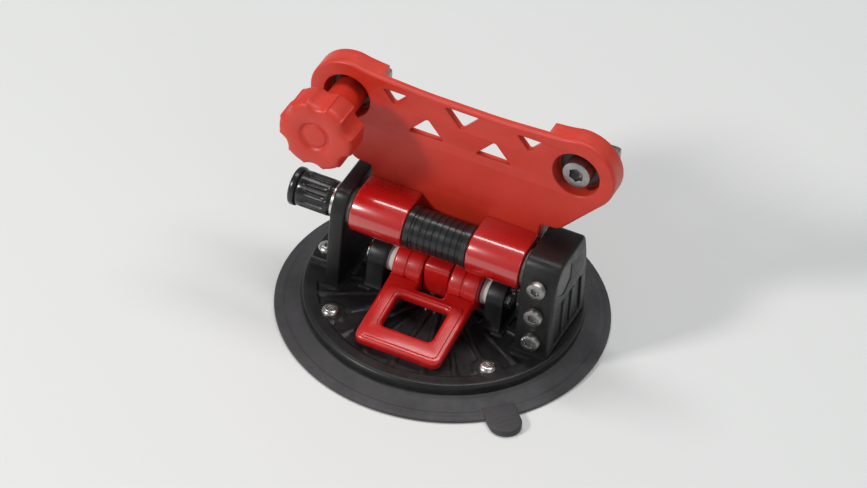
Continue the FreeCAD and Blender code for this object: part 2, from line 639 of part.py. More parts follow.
os.makedirs("parts", exist_ok=True)
for name, make in NODES.items():
    shape = make()
    bb = shape.BoundBox
    print(f"{name:20s} solids {len(shape.Solids)} valid {shape.isValid()} "
          f"x {bb.XMin:.1f}..{bb.XMax:.1f} y {bb.YMin:.1f}..{bb.YMax:.1f} z {bb.ZMin:.1f}..{bb.ZMax:.1f}")
    shape.exportStep(f"parts/{name}.step")
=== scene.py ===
"""Looks of a lever-operated vacuum suction cup with a tilting rail bracket, round its CAD frame.

Shapes are worked out in millimetres in the part's own frame: +Z up from the surface that the cup
holds, +X along the hinge barrel, -Y towards the lever.  Shell.build turns them into metres.
Each sub-assembly is a class with its sizes as fields, and each finish is a frozen data class.
"""
import logging
import math
from dataclasses import dataclass, field
from enum import Enum
from typing import Any, Sequence

import bmesh
import bpy
import numpy as np
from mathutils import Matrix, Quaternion, Vector
from mathutils.geometry import tessellate_polygon


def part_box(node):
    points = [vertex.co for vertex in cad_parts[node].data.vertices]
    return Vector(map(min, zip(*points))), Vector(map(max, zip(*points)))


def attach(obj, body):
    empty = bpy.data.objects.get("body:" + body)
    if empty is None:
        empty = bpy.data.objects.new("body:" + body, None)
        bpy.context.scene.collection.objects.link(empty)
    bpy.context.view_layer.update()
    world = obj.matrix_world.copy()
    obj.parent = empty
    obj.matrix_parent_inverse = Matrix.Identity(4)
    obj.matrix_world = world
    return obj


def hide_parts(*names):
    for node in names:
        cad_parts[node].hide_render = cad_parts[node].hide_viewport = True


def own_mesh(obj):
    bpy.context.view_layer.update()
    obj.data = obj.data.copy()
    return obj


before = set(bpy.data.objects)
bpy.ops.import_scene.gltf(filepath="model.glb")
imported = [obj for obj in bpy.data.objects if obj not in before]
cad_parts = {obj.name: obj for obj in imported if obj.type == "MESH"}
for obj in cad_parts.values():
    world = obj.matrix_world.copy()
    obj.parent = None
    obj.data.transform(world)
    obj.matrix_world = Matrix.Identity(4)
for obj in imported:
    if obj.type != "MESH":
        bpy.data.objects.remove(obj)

LOG = logging.getLogger("suction_cup")
MM = 0.001
MERGE_DISTANCE = 0.004 * MM
SLIVER_LENGTH = 0.002 * MM
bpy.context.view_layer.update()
Pair = tuple[float, float]
Triple = tuple[float, float, float]


class Slot(Enum):
    """The record's material slots."""

    RUBBER = "rubber"
    BLACK = "black_plastic"
    RED = "red_moulding"
    RED_GLOSS = "red_gloss"
    STEEL = "bright_steel"
    BRASS = "brass"
    BEARING = "bearing_plastic"


class Body(Enum):
    """The CAD bodies that pieces ride on."""

    CUP = "cup"
    LIFT = "lift_core"
    LEVER = "lever"
    BRACKET = "bracket"
    KNOB = "knob"
    SLOT_NUT = "slot_nut"
    TILT_NUT = "tilt_nut"


# ---- frame helpers -----------------------------------------------------------------------------
def corners(node: str) -> tuple[np.ndarray, np.ndarray]:
    """Lowest and highest corner of a CAD node, in millimetres."""
    low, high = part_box(node)
    return np.array(low) / MM, np.array(high) / MM


def middle(node: str) -> np.ndarray:
    """Centre of a CAD node's box, in millimetres."""
    low, high = corners(node)
    return 0.5 * (low + high)


@dataclass(frozen=True)
class Placing:
    """Axes that local points are laid out in: first, second and third run along three directions."""

    origin: Triple = (0.0, 0.0, 0.0)
    first: Triple = (1.0, 0.0, 0.0)
    second: Triple = (0.0, 1.0, 0.0)
    third: Triple = (0.0, 0.0, 1.0)

    def __call__(self, points: np.ndarray) -> np.ndarray:
        """Local points as points of the part's frame: origin plus each coordinate times its axis."""
        return np.asarray(self.origin) + points @ np.array([self.first, self.second, self.third])


def along_x(x: float, y: float, z: float) -> Placing:
    """Local axes whose third runs along +X, with the first two along +Y and +Z."""
    return Placing((x, y, z), (0, 1, 0), (0, 0, 1), (1, 0, 0))


def along_y(x: float, y: float, z: float) -> Placing:
    """Local axes whose third runs along +Y, with the first two along +X and +Z."""
    return Placing((x, y, z), (1, 0, 0), (0, 0, 1), (0, 1, 0))


def against_y(x: float, y: float, z: float) -> Placing:
    """Local axes whose third runs along -Y, for a screw whose head faces the lever's side."""
    return Placing((x, y, z), (1, 0, 0), (0, 0, 1), (0, -1, 0))


def along_z(x: float, y: float, z: float) -> Placing:
    """Local axes parallel to the part's own."""
    return Placing((x, y, z))


# ---- outlines ----------------------------------------------------------------------------------
def rounded(points: Sequence[Sequence[float]], reach: float, closed: bool = True,
            steps: int = 5) -> np.ndarray:
    """Straight runs joined by soft corners.

    A corner B between runs to A and C becomes the parabola (1-t)^2 P + 2t(1-t) B + t^2 Q, where P and Q
    lie `reach` along the runs from B, or 0.45 of the run if that is less.

    Args:
        points: Corners as (x, y), or (x, y, reach) where a corner has its own reach.
        reach: How far along each run the corner starts.
        closed: Whether the last corner joins the first.
        steps: Stretches that each corner is divided into.

    Returns:
        The outline's points, one row each.
    """
    count = len(points)
    plane = np.array([p[:2] for p in points], float)
    t = np.linspace(0.0, 1.0, steps + 1)[:, None]
    parts = []
    for i, corner in enumerate(points):
        own = corner[2] if len(corner) > 2 else reach
        at_end = not closed and i in (0, count - 1)
        if own <= 0 or at_end:
            parts.append(plane[i:i + 1])
            continue
        back = plane[i - 1] - plane[i]
        ahead = plane[(i + 1) % count] - plane[i]
        start = plane[i] + back * min(own / np.linalg.norm(back), 0.45)
        stop = plane[i] + ahead * min(own / np.linalg.norm(ahead), 0.45)
        parts.append((1 - t) ** 2 * start + 2 * t * (1 - t) * plane[i] + t ** 2 * stop)
    return np.concatenate(parts)


def arc(cx: float, cy: float, radius: float, start: float, stop: float, step: float = 4.0) -> np.ndarray:
    """Points (cx + r cos a, cy + r sin a) with the angle a, in degrees, running from start to stop."""
    a = np.radians(np.linspace(start, stop, max(2, int(abs(stop - start) / step) + 1)))
    return np.stack([cx + radius * np.cos(a), cy + radius * np.sin(a)], 1)


def circle(cx: float, cy: float, radius: float, step: float = 4.0) -> np.ndarray:
    """A closed circle, without its first point repeated at the end."""
    return arc(cx, cy, radius, 0.0, 360.0, step)[:-1]


def oblong(x0: float, x1: float, y0: float, y1: float) -> list[Pair]:
    """The four corners of a rectangle, anticlockwise from its lowest."""
    return [(x0, y0), (x1, y0), (x1, y1), (x0, y1)]


def around(count: int) -> np.ndarray:
    """Angles of `count` even steps round a circle, in radians."""
    return np.linspace(0.0, 2 * np.pi, count, endpoint=False)


def signed_area(loop: np.ndarray) -> float:
    """Half the sum of x y' - y x' over the loop: above zero when it runs anticlockwise."""
    x, y = loop.T
    return 0.5 * float(np.sum(x * np.roll(y, -1) - y * np.roll(x, -1)))


def oriented(loop: np.ndarray, solid_inside: bool) -> np.ndarray:
    """The loop with the material on its left."""
    return loop if (signed_area(loop) > 0) == solid_inside else loop[::-1]


def inset(loop: np.ndarray, distance: float) -> np.ndarray:
    """The loop moved to its left: each point goes by distance (n + n') / (1 + n.n'), a mitred corner."""
    ahead = np.roll(loop, -1, 0) - loop
    ahead /= np.linalg.norm(ahead, axis=1, keepdims=True)
    behind = np.roll(ahead, 1, 0)
    n1 = np.stack([-ahead[:, 1], ahead[:, 0]], 1)
    n2 = np.stack([-behind[:, 1], behind[:, 0]], 1)
    dot = np.sum(n1 * n2, axis=1, keepdims=True)
    return loop + distance * (n1 + n2) / np.maximum(1 + dot, 0.3)


def rim(low: float, high: float, low_radius: float, high_radius: float, steps: int = 4) -> np.ndarray:
    """Side profile of a slab, as rows of (inset, height) from its top face to its bottom face.

    Each edge is a quarter circle: inset r(1 - sin a) and height r(1 - cos a) below the face.

    Args:
        low: Height of the bottom face.
        high: Height of the top face.
        low_radius: Rounding of the bottom edge.
        high_radius: Rounding of the top edge.
        steps: Stretches that each quarter is divided into.

    Returns:
        An array of (inset, height) rows.
    """
    a = np.linspace(0.0, np.pi / 2, steps + 1)
    top = np.stack([high_radius * (1 - np.sin(a)), high - high_radius * (1 - np.cos(a))], 1)
    base = np.stack([low_radius * (1 - np.cos(a)), low + low_radius * (1 - np.sin(a))], 1)
    return np.concatenate([top if high_radius > 0 else top[:1], base if low_radius > 0 else base[-1:]])


def hex_factor(angle: np.ndarray) -> np.ndarray:
    """Ratio of a hexagon's radius to its distance across flats / 2: 1 / cos of the angle off its flat."""
    off = np.mod(angle + np.pi / 6, np.pi / 3) - np.pi / 6
    return 1.0 / np.cos(off)


# ---- meshes ------------------------------------------------------------------------------------
@dataclass
class Shell:
    """Gathers grids and flat caps, in millimetres, and turns them into one closed mesh."""

    points: list[np.ndarray] = field(default_factory=list)
    faces: list[list[int]] = field(default_factory=list)
    count: int = 0

    def add(self, points: np.ndarray, faces: np.ndarray) -> None:
        """Adds points of the part's frame and faces that count from the first of them."""
        self.faces.extend((faces + self.count).tolist())
        self.points.append(points)
        self.count += len(points)

    def grid(self, surface: np.ndarray) -> None:
        """Adds quads over surface[row, column]; the last column joins the first."""
        rows, columns = surface.shape[:2]
        index = np.arange(rows * columns).reshape(rows, columns)
        right = np.roll(index, -1, 1)
        quads = np.stack([index[:-1], right[:-1], right[1:], index[1:]], -1).reshape(-1, 4)
        self.add(surface.reshape(-1, 3), quads)

    def wall(self, placing: Placing, loop: np.ndarray, rows: np.ndarray) -> None:
        """Adds the side of a slab: the loop inset by each row's first value, at its second as height."""
        rings = [np.column_stack([inset(loop, d), np.full(len(loop), h)]) for d, h in rows]
        self.grid(placing(np.array(rings)))

    def cap(self, placing: Placing, loops: Sequence[np.ndarray], height: float) -> None:
        """Fills the flat region between loops, the first of them round all the others."""
        flat = [[Vector((float(x), float(y), 0.0)) for x, y in loop] for loop in loops]
        points = np.concatenate(list(loops))
        triangles = np.array(tessellate_polygon(flat))
        self.add(placing(np.column_stack([points, np.full(len(points), height)])), triangles)

    def slab(self, placing: Placing, outer: np.ndarray, holes: Sequence[np.ndarray], low: float,
             high: float, low_radius: float, high_radius: float) -> None:
        """Adds a flat piece with rounded edges and holes that go right through.

        Args:
            placing: The axes that the outline and the heights are in.
            outer: The outline.
            holes: Outlines of the holes.
            low: Height of the bottom face.
            high: Height of the top face.
            low_radius: Rounding of the bottom edges.
            high_radius: Rounding of the top edges.
        """
        loops = [oriented(outer, True)] + [oriented(hole, False) for hole in holes]
        rows = rim(low, high, low_radius, high_radius)
        for loop in loops:
            self.wall(placing, loop, rows)
        self.cap(placing, [inset(loop, high_radius) for loop in loops], high)
        self.cap(placing, [inset(loop, low_radius) for loop in loops], low)

    def turned(self, placing: Placing, profile: np.ndarray, segments: int = 96, tube: bool = False,
               shape: np.ndarray | None = None) -> None:
        """Adds a turned surface: the point at angle a of a row is (r s cos a, r s sin a, h).

        Args:
            placing: Local axes; the third is the axis of turning.
            profile: Rows of (radius, height), or (radius, height, share) where the third value says
                how far the row takes the shape.
            segments: Points round each row.
            tube: Whether the last row joins the first, as in a ring.
            shape: The factor s of a fully shaped row at each angle, such as a hexagon's.
        """
        rows = np.concatenate([profile, profile[:1]]) if tube else profile
        a = around(segments)
        share = rows[:, 2:3] if rows.shape[1] > 2 else np.zeros((len(rows), 1))
        factor = 1.0 if shape is None else 1.0 - share + share * shape[None, :]
        radius = rows[:, 0:1] * factor * np.ones((1, segments))
        height = rows[:, 1:2] * np.ones((1, segments))
        self.grid(placing(np.stack([radius * np.cos(a), radius * np.sin(a), height], -1)))

    def screw(self, placing: Placing, profile: np.ndarray, segments: int = 48) -> None:
        """Adds a screw with a hexagon socket, from the profile of button_head or cap_head."""
        self.turned(placing, profile, segments, shape=hex_factor(around(segments)))

    def build(self, name: str, sharp: float = 40.0) -> bpy.types.Object:
        """Makes the object: joined, closed, facing outwards and smooth below the sharp angle.

        Args:
            name: The piece's name.
            sharp: Angle in degrees above which an edge stays crisp.

        Returns:
            The new object, at the origin.
        """
        mesh = bpy.data.meshes.new(name)
        mesh.from_pydata((np.concatenate(self.points) * MM).tolist(), [], self.faces)
        work = bmesh.new()
        work.from_mesh(mesh)
        bmesh.ops.remove_doubles(work, verts=work.verts, dist=MERGE_DISTANCE)
        bmesh.ops.dissolve_degenerate(work, edges=work.edges, dist=SLIVER_LENGTH)
        bmesh.ops.recalc_face_normals(work, faces=work.faces)
        work.to_mesh(mesh)
        work.free()
        mesh.shade_smooth()
        mesh.set_sharp_from_angle(angle=math.radians(sharp))
        made = bpy.data.objects.new(name, mesh)
        bpy.context.scene.collection.objects.link(made)
        return made


# ---- finishes ----------------------------------------------------------------------------------
SCUFFS_PER_GRAIN = 9.0
MOTTLE_BAND = (0.32, 0.68)
# The edge and wear bands shape the lightened convex edges, which are partly wear and partly painted
# highlight.
EDGE_BAND = (0.53, 0.62)
WEAR_AND_HIGHLIGHT_BAND = (0.42, 0.62)
# The corner and dust bands shape the ambient-occlusion tint: dust where its colour is lighter than the
# finish, painted shade where darker.
CORNER_BAND = (0.25, 0.75)
DUST_AND_SHADE_BAND = (0.4, 0.6)
ROUGH_BAND = (0.3, 0.7)
CORNER_REACH = 4.0 * MM
BUMP_STRENGTH = 0.55


@dataclass
class Graph:
    """A material's nodes, with short ways to add and join them."""

    material: bpy.types.Material

    def add(self, kind: str, settings: dict[str, Any] | None = None,
            inputs: dict[Any, Any] | None = None) -> bpy.types.Node:
        """Adds a node.

        Args:
            kind: The node's type without its ShaderNode prefix.
            settings: Values for its properties.
            inputs: Values or sockets for its inputs, by name or number.

        Returns:
            The node.
        """
        node = self.material.node_tree.nodes.new("ShaderNode" + kind)
        for key, value in (settings or {}).items():
            setattr(node, key, value)
        for key, value in (inputs or {}).items():
            if isinstance(value, bpy.types.NodeSocket):
                self.material.node_tree.links.new(value, node.inputs[key])
            else:
                node.inputs[key].default_value = value
        return node

    def noise(self, where: bpy.types.NodeSocket, size: float, detail: float = 3.0,
              rough: float = 0.55) -> bpy.types.NodeSocket:
        """Noise whose patches are about `size` millimetres wide."""
        node = self.add("TexNoise", inputs={"Vector": where, "Scale": 1.0 / (size * MM),
                                            "Detail": detail, "Roughness": rough})
        return node.outputs[0]

    def ramp(self, value: bpy.types.NodeSocket, low: float, high: float, first: float = 0.0,
             last: float = 1.0) -> bpy.types.NodeSocket:
        """A straight map of low..high onto first..last, held at both ends."""
        node = self.add("MapRange", {"clamp": True}, {"Value": value, "From Min": low, "From Max": high,
                                                      "To Min": first, "To Max": last})
        return node.outputs[0]

    def blend(self, share: bpy.types.NodeSocket, a: Any, b: Any) -> bpy.types.NodeSocket:
        """Colour a where share is 0 and b where it is 1."""
        node = self.add("Mix", {"data_type": "RGBA"}, {0: share, 6: a, 7: b})
        return node.outputs[2]

    def times(self, a: Any, b: Any) -> bpy.types.NodeSocket:
        """The product of two values."""
        return self.add("Math", {"operation": "MULTIPLY"}, {0: a, 1: b}).outputs[0]


@dataclass(frozen=True)
class Finish:
    """A moulded or turned surface, with grain, mottling, edges lightened by wear and painted highlight, and a
    corner tint that is dust where lighter and painted shade where darker.

    Colours are linear; grain and mottle sizes are millimetres.
    """

    name: str
    slot: Slot
    colour: Triple
    # Colour of the lightened convex edges: partly wear, partly painted highlight.
    edge_wear_and_highlight_colour: Triple
    roughness: float
    roughness_swing: float = 0.08
    metallic: float = 0.0
    coat: float = 0.0
    coat_roughness: float = 0.1
    coat_ior: float = 1.5
    specular: float = 0.5
    grain: float = 0.5
    grain_height: float = 0.02
    mottle: float = 14.0
    mottle_depth: float = 0.12
    # How far the convex edges lighten at most: partly wear, partly painted highlight.
    wear_and_highlight: float = 0.5
    # Strength and colour of the ambient-occlusion corner tint: dust where lighter than the finish, painted
    # shade where darker.
    dust_and_shade: float = 0.15
    dust_and_shade_colour: Triple = (0.30, 0.28, 0.26)

    def material(self) -> bpy.types.Material:
        """The finish as a node material.

        Returns:
            The material, made once for each finish.
        """
        old = bpy.data.materials.get(self.name)
        if old is not None:
            return old
        made = bpy.data.materials.new(self.name)
        made.use_nodes = True
        made.node_tree.nodes.clear()
        made.diffuse_color = (*self.colour, 1.0)
        graph = Graph(made)
        place = graph.add("TexCoord").outputs["Object"]
        grain = graph.noise(place, self.grain, 2.0)
        mottle = graph.noise(place, self.mottle, 5.0, 0.6)
        scuffs = graph.noise(place, self.grain * SCUFFS_PER_GRAIN, 4.0, 0.7)
        dark = tuple(c * (1 - self.mottle_depth) for c in self.colour)
        light = tuple(min(1.0, c * (1 + self.mottle_depth) + 0.02 * self.mottle_depth) for c in self.colour)
        tone = graph.blend(graph.ramp(mottle, *MOTTLE_BAND), (*dark, 1.0), (*light, 1.0))
        # Pointiness lightens convex edges towards the edge colour, in patches: partly worn edges, partly a
        # painted highlight along them.
        edge = graph.ramp(graph.add("NewGeometry").outputs["Pointiness"], *EDGE_BAND)
        edge = graph.times(edge, graph.ramp(scuffs, *WEAR_AND_HIGHLIGHT_BAND, 0.15, self.wear_and_highlight))
        tone = graph.blend(edge, tone, (*self.edge_wear_and_highlight_colour, 1.0))
        # Ambient occlusion tints corners, creases and recesses: dust where the tint is lighter than the
        # finish, painted shade where it is darker.
        shade = graph.add("AmbientOcclusion", {"samples": 4}, {"Distance": CORNER_REACH}).outputs["AO"]
        corner = graph.times(graph.ramp(shade, *CORNER_BAND, self.dust_and_shade, 0.0),
                             graph.ramp(mottle, *DUST_AND_SHADE_BAND, 0.4, 1.0))
        tone = graph.blend(corner, tone, (*self.dust_and_shade_colour, 1.0))
        rough = graph.ramp(scuffs, *ROUGH_BAND, self.roughness - self.roughness_swing,
                           self.roughness + self.roughness_swing)
        bump = graph.add("Bump", inputs={"Strength": BUMP_STRENGTH, "Distance": self.grain_height * MM,
                                         "Height": grain}).outputs[0]
        shader = graph.add("BsdfPrincipled", inputs={
            "Base Color": tone, "Roughness": rough, "Metallic": self.metallic, "Normal": bump,
            "Coat Weight": self.coat, "Coat Roughness": self.coat_roughness, "Coat IOR": self.coat_ior,
            "Specular IOR Level": self.specular})
        graph.add("OutputMaterial", inputs={"Surface": shader.outputs[0]})
        return made

    def dress(self, piece: bpy.types.Object) -> None:
        """Gives a piece this finish in every material slot it has."""
        if not piece.data.materials:
            piece.data.materials.append(self.material())
        for place in piece.material_slots:
            place.material = self.material()


# Each finish's second colour lightens its convex edges: partly wear, partly painted highlight.
RUBBER = Finish("moulded_rubber", Slot.RUBBER, (0.040, 0.038, 0.041), (0.13, 0.125, 0.125), 0.58, 0.10,
                specular=0.45, grain=0.35, grain_height=0.03, mottle=22.0, mottle_depth=0.25, dust_and_shade=0.35)
BLACK = Finish("grained_black", Slot.BLACK, (0.008, 0.008, 0.009), (0.07, 0.07, 0.073), 0.40, 0.10,
               specular=0.4, grain=0.45, grain_height=0.025, mottle_depth=0.2, dust_and_shade=0.12)
BLACK_SATIN = Finish("satin_black", Slot.BLACK, (0.010, 0.0105, 0.0115), (0.09, 0.09, 0.095), 0.26, 0.07,
                     grain=0.6, grain_height=0.008, mottle_depth=0.15, dust_and_shade=0.08)
# The dark red and dark grey corner colours of the red and bright steel finishes below are painted shade.
RED = Finish("satin_red_moulding", Slot.RED, (0.60, 0.031, 0.014), (0.72, 0.13, 0.09), 0.44, 0.07,
             coat=0.12, coat_roughness=0.35, grain=0.7, grain_height=0.02, mottle=9.0,
             mottle_depth=0.05, dust_and_shade=0.10, dust_and_shade_colour=(0.20, 0.03, 0.02))
RED_SLEEVE = Finish("gloss_red_sleeve", Slot.RED_GLOSS, (0.50, 0.004, 0.004), (0.70, 0.10, 0.08), 0.28, 0.04,
                    coat=1.0, coat_roughness=0.12, coat_ior=1.8, grain=1.2, grain_height=0.004, mottle=16.0,
                    mottle_depth=0.05, wear_and_highlight=0.3, dust_and_shade=0.05, dust_and_shade_colour=(0.14, 0.01, 0.01))
RED_GLOSS = Finish("gloss_red_moulding", Slot.RED_GLOSS, (0.53, 0.006, 0.005), (0.70, 0.10, 0.08), 0.33, 0.06,
                   coat=0.4, coat_roughness=0.14, grain=1.2, grain_height=0.006, mottle=12.0,
                   mottle_depth=0.10, wear_and_highlight=0.35, dust_and_shade=0.08, dust_and_shade_colour=(0.14, 0.01, 0.01))
STEEL = Finish("zinc_plated_steel", Slot.STEEL, (0.66, 0.655, 0.63), (0.85, 0.85, 0.83), 0.27, 0.09,
               metallic=1.0, grain=0.5, grain_height=0.006, mottle=5.0, mottle_depth=0.12, dust_and_shade=0.25,
               dust_and_shade_colour=(0.10, 0.10, 0.10))
# A darker copy of the steel finish; on the cap screw deep in the right lobe's recess its darkness is painted
# shade.
DARK_STEEL = Finish("dark_steel", Slot.STEEL, (0.34, 0.335, 0.33), (0.62, 0.61, 0.60), 0.36, 0.10,
                    metallic=1.0, grain=0.4, grain_height=0.008, mottle=6.0, mottle_depth=0.18)
BLACK_OXIDE = Finish("blackened_steel", Slot.STEEL, (0.045, 0.044, 0.045), (0.22, 0.22, 0.21), 0.38, 0.08,
                     metallic=0.7, grain=0.4, grain_height=0.008, mottle=6.0, mottle_depth=0.15)
BRASS = Finish("turned_brass", Slot.BRASS, (0.70, 0.47, 0.19), (0.85, 0.68, 0.40), 0.28, 0.08,
               metallic=1.0, grain=0.4, grain_height=0.006, mottle=5.0, mottle_depth=0.12)
GREY_BEARING = Finish("grey_bearing_plastic", Slot.BEARING, (0.05, 0.05, 0.052), (0.16, 0.16, 0.16),
                      0.40, 0.06, grain=0.5, grain_height=0.008, mottle_depth=0.08)
BEARING = Finish("bearing_plastic", Slot.BEARING, (0.62, 0.60, 0.54), (0.74, 0.73, 0.70), 0.45, 0.06,
                 grain=0.5, grain_height=0.008, mottle_depth=0.06)


# ---- sub-assemblies ----------------------------------------------------------------------------
@dataclass
class SubAssembly:
    """A group of pieces that is made together and reports each one."""

    made: list[bpy.types.Object] = field(default_factory=list)

    def place(self, piece: bpy.types.Object, body: Body, finish: Finish, *stands_for: str) -> None:
        """Dresses a piece, puts it on its body and says which CAD nodes it stands for.

        Args:
            piece: The new piece.
            body: The CAD body that it moves with.
            finish: Its finish.
            stands_for: CAD nodes that it is shown in place of.
        """
        finish.dress(piece)
        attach(piece, body.value)
        if stands_for:
            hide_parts(*stands_for)
        self.made.append(piece)
        LOG.info("%s: %d faces on %s", piece.name, len(piece.data.polygons), body.value)


def button_head(radius: float, height: float, socket: float, shank: float, length: float) -> np.ndarray:
    """Profile of a domed screw from its socket floor to its tip, as (radius, height, hexagon share).

    The dome is a quarter ellipse: radius r cos a and height h sin a above its seat.

    Args:
        radius: Head radius.
        height: Head height above the seat.
        socket: Hexagon socket's size, from its middle to a flat.
        shank: Shank radius.
        length: Shank length under the seat.

    Returns:
        Rows for Shell.turned.
    """
    a = np.radians(np.linspace(58, 4, 8))
    dome = np.stack([radius * np.cos(a) ** 0.8, height * np.sin(a) ** 0.9, 0 * a], 1)
    top = dome[0, 1]
    head = np.array([(0.0, top - 0.55 * height, 1.0), (socket * 0.96, top - 0.55 * height, 1.0),
                     (socket, top - 0.12, 1.0), (socket + 0.12, top, 0.8), (socket + 0.5, top, 0.2)])
    foot = np.array([(radius, 0.0, 0.0), (shank, 0.0, 0.0), (shank, 0.4 - length, 0.0),
                     (shank - 0.4, -length, 0.0), (0.0, -length, 0.0)])
    return np.concatenate([head, dome, foot])


def cap_head(radius: float, height: float, socket: float, shank: float, length: float) -> np.ndarray:
    """Profile of a cap screw, like button_head but with an upright side and a bevelled top edge."""
    edge = 0.6
    return np.array([
        (0.0, height * 0.42, 1.0), (socket * 0.97, height * 0.42, 1.0), (socket, height - 0.2, 1.0),
        (socket + 0.2, height, 0.7), (radius - edge, height, 0.0), (radius - 0.2, height - 0.18, 0.0),
        (radius, height - edge, 0.0), (radius, 0.15, 0.0), (radius - 0.15, 0.0, 0.0), (shank, 0.0, 0.0),
        (shank, 0.4 - length, 0.0), (shank - 0.4, -length, 0.0), (0.0, -length, 0.0)])


def thread(radius: float, pitch: float, depth: float, start: float, stop: float,
           columns: int = 36) -> np.ndarray:
    """Surface of a thread: r = radius - depth * tri(h / pitch - a / 2 pi), with tri a triangle wave.

    Args:
        radius: Outside radius.
        pitch: Height of one turn.
        depth: Depth of the groove.
        start: Height of the lower end.
        stop: Height of the upper end.
        columns: Points round the thread.

    Returns:
        Local points [row, column], with a point row at each end.
    """
    rows = int((stop - start) / pitch * 8) + 2
    h = np.linspace(start, stop, rows)[:, None] * np.ones((1, columns))
    a = around(columns)[None, :] * np.ones((rows, 1))
    phase = np.mod(h / pitch - a / (2 * np.pi), 1.0)
    groove = 1 - np.abs(2 * phase - 1)
    taper = np.clip(np.minimum(stop - h, h - start) / pitch, 0, 1)
    r = radius - depth * (groove * taper + (1 - taper))
    body = np.stack([r * np.cos(a), r * np.sin(a), h], -1)
    first = np.zeros((1, columns, 3)) + np.array([0.0, 0.0, start])
    last = np.zeros((1, columns, 3)) + np.array([0.0, 0.0, stop])
    return np.concatenate([first, body, last])


@dataclass
class SealingPad(SubAssembly):
    """The rubber disc: grooved flat lip, drawn-up middle, stepped top and a release tab."""

    rim: float = 75.0
    edge: float = 1.8
    seat: float = 5.5
    tab_angle: float = -45.0
    tab_half: float = 7.3
    tab_reach: float = 86.6
    bars: int = 4
    bar_from: float = 75.6
    bar_pitch: float = 2.4
    grooves: tuple[float, ...] = (65.6, 68.6, 71.6)
    segments: int = 256
    keep: float = 0.75

    def underside(self) -> list[Pair]:
        """Rows from the middle to the rim, with three sealing grooves in the flat lip."""
        rows: list[Pair] = [(0.0, 3.2), (14.0, 3.2), (26.0, 3.15), (34.0, 2.85), (42.0, 2.3), (50.0, 1.5),
                            (57.0, 0.6), (61.0, 0.12), (63.2, 0.0)]
        for groove in self.grooves:
            rows += [(groove - 0.7, 0.0), (groove - 0.35, 0.45), (groove + 0.35, 0.45), (groove + 0.7, 0.0)]
        return rows + [(self.rim - 0.7, 0.0), (self.rim - 0.2, 0.2), (self.rim, 0.7)]

    def upside(self) -> list[Pair]:
        """Rows from the rim back to the middle, with a bead near the rim and a step at the plate."""
        return [(self.rim, self.edge - 0.6), (self.rim - 0.2, self.edge - 0.15),
                (self.rim - 0.8, self.edge), (73.2, 1.95), (72.6, 2.05), (72.2, 2.45), (71.4, 2.6),
                (70.6, 2.62), (70.1, 2.5), (69.6, 2.72), (67.0, 3.9), (65.2, 4.75), (64.3, 5.2),
                (63.9, 5.65), (63.5, 5.7), (63.15, 5.5),
                (60.0, self.seat), (45.0, self.seat), (27.0, self.seat), (26.0, self.seat),
                (24.6, 7.3), (23.9, 7.6), (12.0, 7.6), (5.0, 7.6), (4.6, 7.4), (4.5, 5.0), (0.0, 5.0)]

    def tab(self, shell: Shell) -> None:
        """The tongue at the rim: a round-ended outline with soft edges and four grip bars."""
        a = math.radians(self.tab_angle)
        axes = Placing((0, 0, 0), (math.cos(a), math.sin(a), 0), (-math.sin(a), math.cos(a), 0), (0, 0, 1))
        end = self.tab_reach - self.tab_half
        tongue = np.concatenate([arc(end, 0, self.tab_half, -90, 90, 7),
                                 np.array([(68.5, self.tab_half + 0.5), (68.5, -self.tab_half - 0.5)])])
        shell.slab(axes, tongue, [], 0.0, 3.3, 0.4, 1.0)
        for i in range(self.bars):
            x = self.bar_from + self.bar_pitch * i
            half = self.tab_half - 1.9 - 0.5 * max(0, i - 1)
            bar = rounded(oblong(x - 0.55, x + 0.55, -half, half), 0.5)
            shell.slab(axes, bar, [], 3.0, 3.4, 0.0, 0.3)

    def make(self) -> None:
        """Builds the disc."""
        shell = Shell()
        shell.turned(along_z(0, 0, 0), np.array(self.underside() + self.upside()), self.segments)
        self.tab(shell)
        pad = shell.build("sealing_pad", 50)
        self.place(pad, Body.CUP, RUBBER, "rubber_pad")
        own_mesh(pad)


